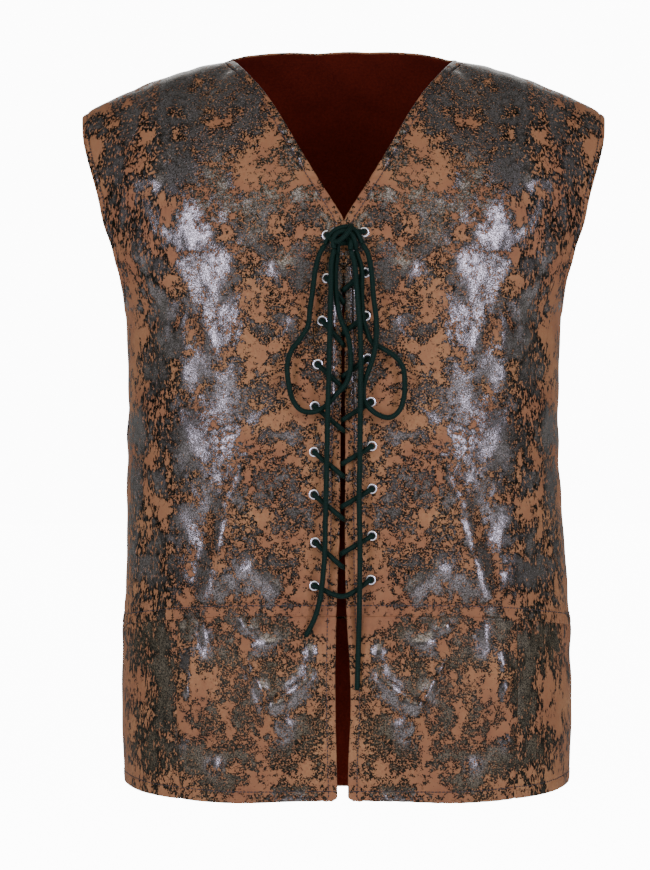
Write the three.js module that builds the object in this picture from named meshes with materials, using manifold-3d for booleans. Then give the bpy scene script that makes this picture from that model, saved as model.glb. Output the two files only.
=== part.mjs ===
import * as THREE from 'three';
import { mergeVertices } from 'three/addons/utils/BufferGeometryUtils.js';
import Module from 'manifold-3d';

const wasm = await Module();
wasm.setup();

// Sleeveless laced vest, worn shape with nobody in it. Millimetres, +Z up, the front faces -Y.
// Left and right are the wearer's: the left front is on +X.
// The origin is midway between the two high points of the shoulders.

// Cloth
const WALL = 2;
const SEAM_GAP = 0.4;
const LEATHER = { color: 0x6b4a33, roughness: 0.45, metalness: 0 };

// Shoulders, neck and hem
const NECK_HALF_WIDTH = 104;
const NECK_DEPTH = 158;
const BACK_NECK_DROP = 14;
const UNDERARM = { x: 204, z: -240 };
const FRONT_HEM = -686;
const SIDE_HEM = -680;
const BACK_HEM = -693;
const WAIST_FRONT = -518.5;
const WAIST_SIDE = -532.5;
const SKIRT_SEAM_X = 151;

// How square the body is in plan, and how round the shoulder is in profile
const PLAN_POWER = 2.35;
const SHOULDER_POWER = 1.7;
const FRONT_SHOULDER_HEIGHT = 170;
const BACK_SHOULDER_HEIGHT = 125;

// Eyelets
const HOLE_RADIUS = 3.3;
const HOLE_SIDES = 12;
const EYELET = { bore: 2.6, barrel: 3.0, flange: 4.8, backFlange: 4.2, crown: 1.2, tail: 0.5 };
const METAL = { color: 0xc9c9cc, roughness: 0.2, metalness: 1 };

// Lace
const LACE_RADIUS = 2.1;
const LACE_SIDES = 8;
const BEND_RADIUS = 2.9;
const FREE_RISE = 8.9;
const TOP_RISE = 13.6;
const REST_RISE = 2.7;
const LACE = { color: 0x0c1310, roughness: 0.75, metalness: 0 };
const KNOT = { x: -1, z: -171.5, rise: 8.1, halfWidth: 11, halfDepth: 7.6, halfHeight: 11 };
const KNOT_SEGMENTS = 14;

// Half width and depths of the body, by height
const GIRTH = [
  { z: 30, half: 273, front: 107, back: 99 },
  { z: -54, half: 268, front: 112, back: 108 },
  { z: -94, half: 262, front: 115, back: 113 },
  { z: -132, half: 252, front: 118, back: 117 },
  { z: -170, half: 236, front: 122, back: 120 },
  { z: -203, half: 223, front: 124.6, back: 121 },
  { z: -229, half: 209, front: 126, back: 121 },
  { z: -240, half: 204, front: 126.4, back: 120.5 },
  { z: -280, half: 202.4, front: 126.6, back: 117.5 },
  { z: -320, half: 202, front: 125.2, back: 114 },
  { z: -395, half: 203.5, front: 121.5, back: 108 },
  { z: -452, half: 204.5, front: 119, back: 106 },
  { z: -490, half: 207, front: 118.5, back: 107 },
  { z: -524, half: 209.6, front: 119, back: 109 },
  { z: -565, half: 211, front: 121, back: 113 },
  { z: -621, half: 211, front: 124, back: 119 },
  { z: -658, half: 209.6, front: 126, back: 123 },
  { z: -700, half: 206, front: 127.5, back: 126 },
];

// Height of the shoulder line, by distance from the centre
const SHOULDER = [
  { x: 0, z: 24 },
  { x: 40, z: 21.5 },
  { x: 70, z: 15.5 },
  { x: 90, z: 7.5 },
  { x: 104, z: 0 },
  { x: 127, z: -5 },
  { x: 144, z: -10 },
  { x: 175, z: -19 },
  { x: 199, z: -29 },
  { x: 218, z: -38 },
  { x: 235, z: -47.5 },
  { x: 245, z: -55 },
];

// Edge of the armhole, by height
const ARMHOLE = [
  { z: -55, front: 245, back: 245 },
  { z: -76, front: 243, back: 243 },
  { z: -94, front: 239, back: 239 },
  { z: -113, front: 234, back: 234 },
  { z: -132, front: 229, back: 229.5 },
  { z: -151, front: 224, back: 225 },
  { z: -170, front: 218.5, back: 221 },
  { z: -188, front: 213, back: 216.5 },
  { z: -207, front: 208, back: 212 },
  { z: -226, front: 205, back: 207 },
  { z: -240, front: 204, back: 204 },
];

// Edge of the neck opening, by height
const NECK_EDGE = [
  { z: 0, x: 104 },
  { z: -14, x: 92 },
  { z: -30, x: 78 },
  { z: -47, x: 66 },
  { z: -63, x: 56 },
  { z: -79, x: 47 },
  { z: -94, x: 38.5 },
  { z: -109, x: 29.7 },
  { z: -124, x: 20.5 },
  { z: -152, x: 3 },
  { z: -158, x: 0.6 },
];

// The two front edges, by height: closed at the top, parting towards the hem
const FRONT_EDGES = [
  { z: -158, right: -0.9, left: 0.1 },
  { z: -196, right: -0.9, left: 0.1 },
  { z: -207, right: -3.3, left: 2.1 },
  { z: -320, right: -3.4, left: 1.9 },
  { z: -367, right: -3.7, left: 1.6 },
  { z: -407, right: -3.9, left: 1.5 },
  { z: -450, right: -4.7, left: 1.6 },
  { z: -483, right: -6.2, left: 1.7 },
  { z: -505, right: -7.1, left: 2.0 },
  { z: -527, right: -7.7, left: 2.9 },
  { z: -549, right: -8.2, left: 4.5 },
  { z: -571, right: -8.4, left: 5.5 },
  { z: -604, right: -8.4, left: 6.2 },
  { z: -647, right: -7.5, left: 4.3 },
  { z: -700, right: -6.0, left: 3.2 },
];

// Centres of the eyelets, from the top pair down
const EYELET_ROWS = [
  { xRight: -15.7, zRight: -170.9, xLeft: 18.2, zLeft: -168.1 },
  { xRight: -15.7, zRight: -210.2, xLeft: 19.3, zLeft: -205.1 },
  { xRight: -20.0, zRight: -248.9, xLeft: 19.5, zLeft: -244.5 },
  { xRight: -23.9, zRight: -288.5, xLeft: 21.5, zLeft: -283.4 },
  { xRight: -26.6, zRight: -326.7, xLeft: 24.3, zLeft: -322.9 },
  { xRight: -27.3, zRight: -368.3, xLeft: 25.4, zLeft: -362.9 },
  { xRight: -27.5, zRight: -407.1, xLeft: 25.4, zLeft: -401.9 },
  { xRight: -26.2, zRight: -450.9, xLeft: 25.4, zLeft: -444.8 },
  { xRight: -27.2, zRight: -490.5, xLeft: 24.3, zLeft: -485.1 },
];

// Largest folds: a soft ridge or trough along a line, the same on both sides of the centre
const FRONT_FOLDS = [
  { x1: 112, z1: -14, x2: 146, z2: -72, width: 22, height: -2.5 },
  { x1: 160, z1: -232, x2: 174, z2: -288, width: 20, height: 3.5 },
  { x1: 92, z1: -384, x2: 134, z2: -506, width: 26, height: 4 },
  { x1: 78, z1: -480, x2: 46, z2: -512, width: 20, height: 2.5 },
  { x1: 94, z1: -556, x2: 68, z2: -600, width: 22, height: 3 },
  { x1: 66, z1: -602, x2: 34, z2: -578, width: 20, height: 3 },
  { x1: 150, z1: -300, x2: 165, z2: -420, width: 34, height: -3 },
];
const BACK_FOLDS = [
  { x1: 60, z1: -60, x2: 150, z2: -120, width: 34, height: -3 },
  { x1: 120, z1: -250, x2: 150, z2: -380, width: 34, height: 4 },
  { x1: 40, z1: -470, x2: 120, z2: -500, width: 26, height: 3.5 },
  { x1: 70, z1: -560, x2: 80, z2: -650, width: 34, height: 3.5 },
];

// Free parts of the lace: x and z in front of the vest, rise above its surface
const LOOP_RIGHT = [
  { x: -17.5, z: -180, rise: FREE_RISE },
  { x: -22.5, z: -189, rise: FREE_RISE },
  { x: -26.1, z: -202.6, rise: FREE_RISE },
  { x: -28.5, z: -221, rise: FREE_RISE },
  { x: -31.1, z: -239, rise: FREE_RISE },
  { x: -33, z: -254, rise: FREE_RISE },
  { x: -39.5, z: -265, rise: FREE_RISE },
  { x: -48.3, z: -277, rise: FREE_RISE },
  { x: -51.7, z: -290, rise: FREE_RISE },
  { x: -50.5, z: -306, rise: FREE_RISE },
  { x: -46.7, z: -321, rise: FREE_RISE },
  { x: -39, z: -330.5, rise: FREE_RISE },
  { x: -27.4, z: -332, rise: FREE_RISE },
  { x: -17.5, z: -327, rise: FREE_RISE },
  { x: -6.5, z: -315.5, rise: FREE_RISE },
  { x: 1.8, z: -306, rise: FREE_RISE },
  { x: 5.7, z: -292, rise: FREE_RISE },
  { x: 5.7, z: -276, rise: FREE_RISE },
  { x: 3, z: -262, rise: FREE_RISE },
  { x: -2.6, z: -249, rise: FREE_RISE },
  { x: -6, z: -236, rise: FREE_RISE },
  { x: -7.6, z: -219, rise: FREE_RISE },
  { x: -7.6, z: -200, rise: FREE_RISE },
  { x: -6, z: -188, rise: FREE_RISE },
];
const LOOP_LEFT = [
  { x: 10.4, z: -185, rise: FREE_RISE },
  { x: 15.6, z: -201, rise: FREE_RISE },
  { x: 16, z: -221, rise: FREE_RISE },
  { x: 17, z: -245, rise: FREE_RISE },
  { x: 20.3, z: -258, rise: FREE_RISE },
  { x: 26.5, z: -270, rise: FREE_RISE },
  { x: 36.2, z: -275, rise: FREE_RISE },
  { x: 46, z: -281.5, rise: FREE_RISE },
  { x: 53.2, z: -291, rise: FREE_RISE },
  { x: 55.1, z: -304, rise: FREE_RISE },
  { x: 54.3, z: -319, rise: FREE_RISE },
  { x: 50, z: -331, rise: FREE_RISE },
  { x: 42, z: -337, rise: FREE_RISE },
  { x: 33, z: -335.5, rise: FREE_RISE },
  { x: 24.5, z: -330, rise: FREE_RISE },
  { x: 18.6, z: -322, rise: FREE_RISE },
  { x: 17.5, z: -312.5, rise: FREE_RISE },
  { x: 19.4, z: -302, rise: 10 },
  { x: 23.5, z: -291, rise: 11.8 },
  { x: 27, z: -279.5, rise: TOP_RISE },
  { x: 29.3, z: -264, rise: TOP_RISE },
  { x: 28.9, z: -245.5, rise: 12.5 },
  { x: 26.6, z: -227, rise: 11 },
  { x: 24.6, z: -203, rise: 10 },
  { x: 21.5, z: -188, rise: 9.5 },
  { x: 16.5, z: -179, rise: FREE_RISE },
];
const END_RIGHT = [
  { x: -9.2, z: -184, rise: TOP_RISE },
  { x: -11.6, z: -196, rise: TOP_RISE },
  { x: -12.1, z: -215, rise: TOP_RISE },
  { x: -12.4, z: -232, rise: TOP_RISE },
  { x: -13.1, z: -260, rise: TOP_RISE },
  { x: -13.6, z: -288, rise: TOP_RISE },
  { x: -14.5, z: -316, rise: TOP_RISE },
  { x: -15, z: -336, rise: TOP_RISE },
  { x: -15.3, z: -352, rise: 10.5 },
  { x: -15.6, z: -370, rise: FREE_RISE },
  { x: -16.3, z: -400, rise: FREE_RISE },
  { x: -17, z: -430, rise: FREE_RISE },
  { x: -17.6, z: -460, rise: FREE_RISE },
  { x: -19.2, z: -481, rise: FREE_RISE },
  { x: -21.5, z: -500, rise: FREE_RISE },
  { x: -26.5, z: -519, rise: 5.5 },
  { x: -35.2, z: -537, rise: REST_RISE },
];
const END_LEFT = [
  { x: 6, z: -185, rise: TOP_RISE },
  { x: 9.4, z: -197, rise: TOP_RISE },
  { x: 11, z: -214, rise: TOP_RISE },
  { x: 12.4, z: -232, rise: TOP_RISE },
  { x: 14.6, z: -258, rise: TOP_RISE },
  { x: 15.2, z: -285, rise: TOP_RISE },
  { x: 14.9, z: -310, rise: TOP_RISE },
  { x: 14.7, z: -334, rise: TOP_RISE },
  { x: 14.5, z: -352, rise: 10.5 },
  { x: 14.4, z: -370, rise: FREE_RISE },
  { x: 13.7, z: -412, rise: FREE_RISE },
  { x: 14.4, z: -450, rise: FREE_RISE },
  { x: 14.2, z: -484, rise: FREE_RISE },
  { x: 14, z: -506, rise: 8 },
  { x: 13.6, z: -526, rise: 4.5 },
  { x: 13, z: -548, rise: REST_RISE },
  { x: 11.8, z: -585.5, rise: REST_RISE },
];

const group = new THREE.Group();

function add(name, geometry, finish) {
  const mesh = new THREE.Mesh(geometry, new THREE.MeshStandardMaterial(finish));
  mesh.name = name;
  group.add(mesh);
}

// Smooth reading of a table between its rows
function slopeAt(rows, key, column, i) {
  const before = rows[Math.max(0, i - 1)];
  const after = rows[Math.min(rows.length - 1, i + 1)];
  return (after[column] - before[column]) / (after[key] - before[key]);
}

function readTable(rows, key, column, value) {
  const rising = rows[0][key] < rows[1][key];
  let i = 0;
  while (i < rows.length - 2 && (rising ? value > rows[i + 1][key] : value < rows[i + 1][key])) i += 1;
  const span = rows[i + 1][key] - rows[i][key];
  const t = THREE.MathUtils.clamp((value - rows[i][key]) / span, 0, 1);
  const start = rows[i][column];
  const end = rows[i + 1][column];
  const startSlope = slopeAt(rows, key, column, i) * span;
  const endSlope = slopeAt(rows, key, column, i + 1) * span;
  return (2 * t ** 3 - 3 * t ** 2 + 1) * start + (t ** 3 - 2 * t ** 2 + t) * startSlope
    + (3 * t ** 2 - 2 * t ** 3) * end + (t ** 3 - t ** 2) * endSlope;
}

function foldHeight(folds, x, z) {
  let height = 0;
  for (const fold of folds) {
    const line = new THREE.Line3(
      new THREE.Vector3(fold.x1, 0, fold.z1),
      new THREE.Vector3(fold.x2, 0, fold.z2),
    );
    const place = new THREE.Vector3(Math.abs(x), 0, z);
    const nearest = line.closestPointToPoint(place, true, new THREE.Vector3());
    height += fold.height * Math.exp(-((place.distanceTo(nearest) / fold.width) ** 2));
  }
  return height;
}

// Depth of the body in front of or behind the shoulder seam, at one x and z
function bodyDepth(side, x, z) {
  const halfWidth = readTable(GIRTH, 'z', 'half', z);
  const reach = Math.min(1, Math.abs(x) / halfWidth);
  const plan = (1 - reach ** PLAN_POWER) ** (1 / PLAN_POWER);
  const height = side === 'front' ? FRONT_SHOULDER_HEIGHT : BACK_SHOULDER_HEIGHT;
  const below = (readTable(SHOULDER, 'x', 'z', Math.abs(x)) - z) / height;
  const drop = THREE.MathUtils.clamp(below, 0, 1);
  const profile = (1 - (1 - drop) ** SHOULDER_POWER) ** (1 / SHOULDER_POWER);
  const folds = foldHeight(side === 'front' ? FRONT_FOLDS : BACK_FOLDS, x, z);
  const depth = readTable(GIRTH, 'z', side, z) * plan * profile;
  return depth + folds * profile * plan ** 2;
}

// A place just in front of the vest: rise is the distance out from its front surface
function inFront(x, z, rise) {
  return new THREE.Vector3(x, -SEAM_GAP / 2 - bodyDepth('front', x, z) - rise, z);
}

// Angle round the body, from 0 at the centre of the front to a quarter turn at the side
function angleOf(x, z) {
  const reach = Math.min(1, Math.abs(x) / readTable(GIRTH, 'z', 'half', z));
  return Math.sign(x) * Math.asin(reach ** (PLAN_POWER / 2));
}

function xOfAngle(angle, z) {
  const sine = Math.sin(angle);
  return Math.sign(sine) * Math.abs(sine) ** (2 / PLAN_POWER) * readTable(GIRTH, 'z', 'half', z);
}

// Cloth wall between four edges: the inner face lies one thickness behind the outer face.
// A border lists the part of the normal that is left out there, so that both faces end on its seam.
function outwardNormals(points, columns, rows, borders) {
  const place = (i, j) => points[j * (columns + 1) + i];
  const normals = [];
  for (let j = 0; j <= rows; j += 1) {
    for (let i = 0; i <= columns; i += 1) {
      const across = place(Math.min(columns, i + 1), j).clone().sub(place(Math.max(0, i - 1), j));
      const up = place(i, Math.min(rows, j + 1)).clone().sub(place(i, Math.max(0, j - 1)));
      const normal = across.cross(up);
      if (i === 0 && borders.start) normal[borders.start] = 0;
      if (i === columns && borders.end) normal[borders.end] = 0;
      if (j === 0 && borders.bottom) normal[borders.bottom] = 0;
      if (j === rows && borders.top) normal[borders.top] = 0;
      normals.push(normal.normalize());
    }
  }
  return normals;
}

function clothWall(columns, rows, pointAt, borders) {
  const outer = [];
  for (let j = 0; j <= rows; j += 1) {
    for (let i = 0; i <= columns; i += 1) outer.push(pointAt(i / columns, j / rows));
  }
  const normals = outwardNormals(outer, columns, rows, borders);
  const inner = outer.map((point, k) => point.clone().addScaledVector(normals[k], -WALL));
  const faces = [];
  const quad = (a, b, c, d) => faces.push(a, b, c, a, c, d);
  const outside = (i, j) => j * (columns + 1) + i;
  const inside = (i, j) => outer.length + outside(i, j);
  for (let j = 0; j < rows; j += 1) {
    for (let i = 0; i < columns; i += 1) {
      quad(outside(i, j), outside(i + 1, j), outside(i + 1, j + 1), outside(i, j + 1));
      quad(inside(i, j), inside(i, j + 1), inside(i + 1, j + 1), inside(i + 1, j));
    }
    quad(outside(0, j), outside(0, j + 1), inside(0, j + 1), inside(0, j));
    quad(outside(columns, j), inside(columns, j), inside(columns, j + 1), outside(columns, j + 1));
  }
  for (let i = 0; i < columns; i += 1) {
    quad(outside(i, 0), inside(i, 0), inside(i + 1, 0), outside(i + 1, 0));
    quad(outside(i, rows), outside(i + 1, rows), inside(i + 1, rows), inside(i, rows));
  }
  const geometry = new THREE.BufferGeometry().setFromPoints([...outer, ...inner]);
  geometry.setIndex(faces);
  return geometry;
}

// Solid from a closed geometry, for cutting
function toSolid(geometry) {
  const plain = geometry.clone();
  plain.deleteAttribute('normal');
  plain.deleteAttribute('uv');
  const welded = mergeVertices(plain, 1e-4);
  return new wasm.Manifold(new wasm.Mesh({
    numProp: 3,
    vertProperties: new Float32Array(welded.attributes.position.array),
    triVerts: new Uint32Array(welded.index.array),
  }));
}

function fromSolid(solid) {
  const mesh = solid.getMesh();
  const geometry = new THREE.BufferGeometry();
  geometry.setAttribute('position', new THREE.BufferAttribute(mesh.vertProperties, 3));
  geometry.setIndex(new THREE.BufferAttribute(mesh.triVerts, 1));
  return geometry;
}

// Eyelet seats: surface point and outward normal
function surfaceNormal(x, z) {
  const step = 2;
  const acrossSlope = (bodyDepth('front', x + step, z) - bodyDepth('front', x - step, z)) / (2 * step);
  const upSlope = (bodyDepth('front', x, z + step) - bodyDepth('front', x, z - step)) / (2 * step);
  return new THREE.Vector3(-acrossSlope, -1, -upSlope).normalize();
}

function seatAt(x, z) {
  return { point: inFront(x, z, 0), normal: surfaceNormal(x, z) };
}

const SEATS = {
  right: EYELET_ROWS.map((row) => seatAt(row.xRight, row.zRight)),
  left: EYELET_ROWS.map((row) => seatAt(row.xLeft, row.zLeft)),
};

function alongSeat(geometry, seat) {
  const turn = new THREE.Quaternion().setFromUnitVectors(new THREE.Vector3(0, 1, 0), seat.normal);
  return geometry.applyQuaternion(turn).translate(seat.point.x, seat.point.y, seat.point.z);
}

// Fronts: below the underarm they run to the side seam, above it to the armhole
const FRONT_COLUMNS = 13;
const CENTRE_CROWDING = 1.4;
const LOWER_ROWS = 10;
const UPPER_ROWS = 10;
const UPPER_SHARE = UPPER_ROWS / (UPPER_ROWS + LOWER_ROWS);

function waistHeight(x) {
  const reach = Math.min(1, Math.abs(x) / UNDERARM.x);
  return WAIST_FRONT + (WAIST_SIDE - WAIST_FRONT) * reach ** 2;
}

function centreRow(side, share) {
  const edge = side > 0 ? 'left' : 'right';
  if (share <= 0) {
    const z = THREE.MathUtils.lerp(WAIST_FRONT, -NECK_DEPTH, 1 + share) + SEAM_GAP / 2;
    const lowered = Math.min(z, -NECK_DEPTH);
    return { x: readTable(FRONT_EDGES, 'z', edge, lowered), z: lowered };
  }
  const z = -NECK_DEPTH * (1 + Math.cos(Math.PI * share)) / 2;
  const open = readTable(NECK_EDGE, 'z', 'x', z);
  const closed = readTable(FRONT_EDGES, 'z', edge, -NECK_DEPTH);
  return { x: side * Math.max(open, Math.abs(closed)), z };
}

function sideRow(column, side, share) {
  if (share <= 0) {
    const z = THREE.MathUtils.lerp(WAIST_SIDE + SEAM_GAP / 2, UNDERARM.z, 1 + share);
    return { x: side * readTable(GIRTH, 'z', 'half', z), z };
  }
  const shoulderEnd = SHOULDER[SHOULDER.length - 1];
  const rise = (1 - Math.cos(Math.PI * share)) / 2;
  const z = THREE.MathUtils.lerp(UNDERARM.z, shoulderEnd.z, rise);
  return { x: side * readTable(ARMHOLE, 'z', column, z), z };
}

// Share from -1 at the waist, through 0 at the underarm, to 1 at the shoulder
function bodyShare(v) {
  const lowerShare = 1 - UPPER_SHARE;
  return v <= lowerShare ? v / lowerShare - 1 : (v - lowerShare) / UPPER_SHARE;
}

function xOnLine(from, to, way) {
  const angle = THREE.MathUtils.lerp(angleOf(from.x, from.z), angleOf(to.x, to.z), way);
  return xOfAngle(angle, THREE.MathUtils.lerp(from.z, to.z, way));
}

// How far the top or bottom edge of a front lies above the straight line between its ends
function edgeBow(side, share, way, heightOf) {
  const inner = centreRow(side, share);
  const outer = sideRow('front', side, share);
  const from = side > 0 ? inner : outer;
  const to = side > 0 ? outer : inner;
  return heightOf(xOnLine(from, to, way)) - THREE.MathUtils.lerp(from.z, to.z, way);
}

function frontPoint(side, u, v) {
  const share = bodyShare(v);
  const inner = centreRow(side, share);
  const outer = sideRow('front', side, share);
  const from = side > 0 ? inner : outer;
  const to = side > 0 ? outer : inner;
  const way = side > 0 ? u ** CENTRE_CROWDING : 1 - (1 - u) ** CENTRE_CROWDING;
  const lineZ = THREE.MathUtils.lerp(from.z, to.z, way);
  const x = xOnLine(from, to, way);
  const bow = share > 0
    ? share ** 3 * edgeBow(side, 1, way, (place) => readTable(SHOULDER, 'x', 'z', Math.abs(place)))
    : share ** 4 * edgeBow(side, -1, way, (place) => waistHeight(place) + SEAM_GAP / 2);
  return inFront(x, lineZ + bow, 0);
}

function frontPanel(side) {
  const borders = { bottom: 'z', top: 'y' };
  const wall = clothWall(FRONT_COLUMNS, UPPER_ROWS + LOWER_ROWS, (u, v) => frontPoint(side, u, v), borders);
  let solid = toSolid(wall);
  for (const seat of side > 0 ? SEATS.left : SEATS.right) {
    const punch = new THREE.CylinderGeometry(HOLE_RADIUS, HOLE_RADIUS, 6 * WALL, HOLE_SIDES);
    solid = solid.subtract(toSolid(alongSeat(punch, seat)));
  }
  return fromSolid(solid);
}

// Back: one piece from side seam to side seam, up to the shoulders and the back of the neck
const BACK_COLUMNS = 22;

function backTopEdge(x) {
  const reach = Math.min(1, Math.abs(x) / NECK_HALF_WIDTH);
  return readTable(SHOULDER, 'x', 'z', Math.abs(x)) - BACK_NECK_DROP * (1 - reach ** 2);
}

function backPoint(u, v) {
  const share = bodyShare(v);
  const end = sideRow('back', 1, share);
  const x = xOfAngle(angleOf(end.x, end.z) * (1 - 2 * u), end.z);
  let z = end.z;
  if (share > 0) {
    const tip = sideRow('back', 1, 1);
    const topX = xOfAngle(angleOf(tip.x, tip.z) * (1 - 2 * u), tip.z);
    z += share ** 1.5 * (backTopEdge(topX) - tip.z);
  }
  return new THREE.Vector3(x, SEAM_GAP / 2 + bodyDepth('back', x, z), z);
}

function backPanel() {
  const borders = { bottom: 'z', top: 'y' };
  return clothWall(BACK_COLUMNS, UPPER_ROWS + LOWER_ROWS, backPoint, borders);
}

// Skirt band: two short fronts and one long back piece that wraps both sides
const SKIRT_ROWS = 7;
const SKIRT_FRONT_COLUMNS = 8;
const SKIRT_BACK_COLUMNS = 26;

function hemHeight(angle) {
  const forward = Math.max(0, Math.cos(angle));
  const backward = Math.max(0, -Math.cos(angle));
  return SIDE_HEM + (FRONT_HEM - SIDE_HEM) * forward ** 0.5 + (BACK_HEM - SIDE_HEM) * backward ** 0.5;
}

function skirtPoint(angle, v) {
  const waistX = xOfAngle(angle, WAIST_SIDE);
  const top = (Math.cos(angle) > 0 ? waistHeight(waistX) : WAIST_SIDE) - SEAM_GAP / 2;
  const z = THREE.MathUtils.lerp(hemHeight(angle), top, v);
  const x = xOfAngle(angle, z);
  const facing = Math.cos(angle) > 0 ? 'front' : 'back';
  const depth = Math.abs(Math.cos(angle)) < 1e-9 ? 0 : bodyDepth(facing, x, z);
  return new THREE.Vector3(x, facing === 'front' ? -depth : depth, z);
}

function skirtFront(side) {
  const seamAngle = Math.asin((SKIRT_SEAM_X / UNDERARM.x) ** (PLAN_POWER / 2));
  const seamClear = SEAM_GAP / 2 / SKIRT_SEAM_X;
  const edge = side > 0 ? 'left' : 'right';
  const pointAt = (u, v) => {
    const z = THREE.MathUtils.lerp(FRONT_HEM, WAIST_FRONT, v);
    const edgeAngle = angleOf(readTable(FRONT_EDGES, 'z', edge, z), z);
    const outerAngle = side * (seamAngle - seamClear);
    const start = side > 0 ? edgeAngle : outerAngle;
    const end = side > 0 ? outerAngle : edgeAngle;
    return skirtPoint(THREE.MathUtils.lerp(start, end, u), v);
  };
  return clothWall(SKIRT_FRONT_COLUMNS, SKIRT_ROWS, pointAt, { top: 'z' });
}

function skirtBack() {
  const seamAngle = Math.asin((SKIRT_SEAM_X / UNDERARM.x) ** (PLAN_POWER / 2));
  const start = seamAngle + SEAM_GAP / 2 / SKIRT_SEAM_X;
  const end = 2 * Math.PI - start;
  const pointAt = (u, v) => skirtPoint(THREE.MathUtils.lerp(start, end, u), v);
  return clothWall(SKIRT_BACK_COLUMNS, SKIRT_ROWS, pointAt, { top: 'z' });
}

// Eyelet: a barrel through the cloth with a crowned flange in front and a flat one behind
function eyelet(seat) {
  const clear = SEAM_GAP * 0.75;
  const behind = -WALL - SEAM_GAP;
  const profile = [
    new THREE.Vector2(EYELET.bore, behind - EYELET.tail),
    new THREE.Vector2(EYELET.backFlange, behind - EYELET.tail),
    new THREE.Vector2(EYELET.backFlange, behind),
    new THREE.Vector2(EYELET.barrel, behind),
    new THREE.Vector2(EYELET.barrel, clear),
    new THREE.Vector2(EYELET.flange, clear),
    new THREE.Vector2((EYELET.bore + EYELET.flange) / 2, EYELET.crown),
    new THREE.Vector2(EYELET.bore, EYELET.crown - clear),
    new THREE.Vector2(EYELET.bore, behind - EYELET.tail),
  ];
  return alongSeat(new THREE.LatheGeometry(profile, HOLE_SIDES), seat);
}

// Lace: a round cord whose steps follow its own route points
class RouteCurve extends THREE.CatmullRomCurve3 {
  getUtoTmapping(u) {
    return u;
  }
}

function cord(points) {
  const circle = new THREE.Shape();
  circle.absarc(0, 0, LACE_RADIUS, 0, 2 * Math.PI);
  const route = new RouteCurve(points, false, 'centripetal');
  return new THREE.ExtrudeGeometry(circle, {
    steps: points.length - 1,
    curveSegments: LACE_SIDES / 2,
    extrudePath: route,
  });
}

// Quarter bend from one direction into another, starting at a point: three places on its arc
function bend(start, into, along) {
  const places = [];
  for (const turn of [0, Math.PI / 4, Math.PI / 2]) {
    places.push(start.clone()
      .addScaledVector(into, BEND_RADIUS * Math.sin(turn))
      .addScaledVector(along, BEND_RADIUS * (1 - Math.cos(turn))));
  }
  return places;
}

// Direction in the cloth from one place towards another, square to the normal
function heading(from, to, normal) {
  return to.clone().sub(from).projectOnPlane(normal).normalize();
}

const FRONT_BEND_START = EYELET.crown + 0.1;
const BACK_BEND_START = WALL + SEAM_GAP + EYELET.tail + 0.2;

function outOfEyelet(seat, target) {
  const start = seat.point.clone().addScaledVector(seat.normal, FRONT_BEND_START);
  return bend(start, seat.normal, heading(seat.point, target, seat.normal));
}

function intoEyelet(seat, source) {
  const inward = seat.normal.clone().negate();
  const start = seat.point.clone().addScaledVector(inward, BACK_BEND_START);
  return bend(start, inward, heading(seat.point, source, seat.normal)).reverse();
}

// Lace from the front of one eyelet, down through the parting, up behind into the opposite eyelet
const RIGHT_PASS_DROP = 22;
const LEFT_PASS_DROP = 16;

function partingAt(z) {
  const right = readTable(FRONT_EDGES, 'z', 'right', z);
  const left = readTable(FRONT_EDGES, 'z', 'left', z);
  return inFront((right + left) / 2, z, 0);
}

function crossing(from, to, drop) {
  const pass = partingAt(from.point.z - drop);
  const outward = new THREE.Vector3(0, -1, 0);
  const inward = new THREE.Vector3(0, 1, 0);
  const over = pass.clone().addScaledVector(outward, FRONT_BEND_START);
  const under = pass.clone().addScaledVector(inward, BACK_BEND_START);
  return [
    ...outOfEyelet(from, pass),
    ...bend(over, outward, heading(pass, from.point, outward)).reverse(),
    ...bend(under, inward, heading(pass, to.point, inward)),
    ...intoEyelet(to, pass),
  ];
}

// First row: the lace goes in at the front and crosses behind the closed edges
function firstCrossing(from, to, extraDepth) {
  const inward = from.normal.clone().negate();
  const start = from.point.clone().addScaledVector(inward, BACK_BEND_START);
  const middle = from.point.clone().lerp(to.point, 0.5);
  middle.y += BACK_BEND_START + BEND_RADIUS + extraDepth;
  return [
    from.point.clone().addScaledVector(from.normal, FRONT_BEND_START),
    ...bend(start, inward, heading(from.point, to.point, from.normal)),
    middle,
    ...intoEyelet(to, from.point),
  ];
}

function knotEntry(seat, side) {
  const start = seat.point.clone().addScaledVector(seat.normal, FRONT_BEND_START);
  const places = bend(start, seat.normal, new THREE.Vector3(-side, 0, 0)).reverse();
  const reach = KNOT.halfWidth + SEAM_GAP;
  places.unshift(inFront(KNOT.x + side * reach, seat.point.z, FRONT_BEND_START + BEND_RADIUS));
  return places.slice(0, -1);
}

function strand(startSide) {
  const sides = ['right', 'left'];
  let here = sides.indexOf(startSide);
  const side = here === 0 ? -1 : 1;
  const points = knotEntry(SEATS[startSide][0], side);
  const extraDepth = here === 0 ? 0 : 2 * LACE_RADIUS + SEAM_GAP;
  points.push(...firstCrossing(SEATS[startSide][0], SEATS[sides[1 - here]][1], extraDepth));
  here = 1 - here;
  for (let row = 1; row < EYELET_ROWS.length - 1; row += 1) {
    const drop = here === 0 ? RIGHT_PASS_DROP : LEFT_PASS_DROP;
    points.push(...crossing(SEATS[sides[here]][row], SEATS[sides[1 - here]][row + 1], drop));
    here = 1 - here;
  }
  return points;
}

function lacing() {
  const last = EYELET_ROWS.length - 1;
  const bottomSag = inFront(-1, -500, FRONT_BEND_START + BEND_RADIUS);
  const down = strand('right');
  const up = strand('left').reverse();
  const firstEnd = SEATS.right[last];
  const secondEnd = SEATS.left[last];
  return cord([
    ...down,
    ...outOfEyelet(firstEnd, bottomSag),
    bottomSag,
    ...outOfEyelet(secondEnd, bottomSag).reverse(),
    ...up,
  ]);
}

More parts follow.
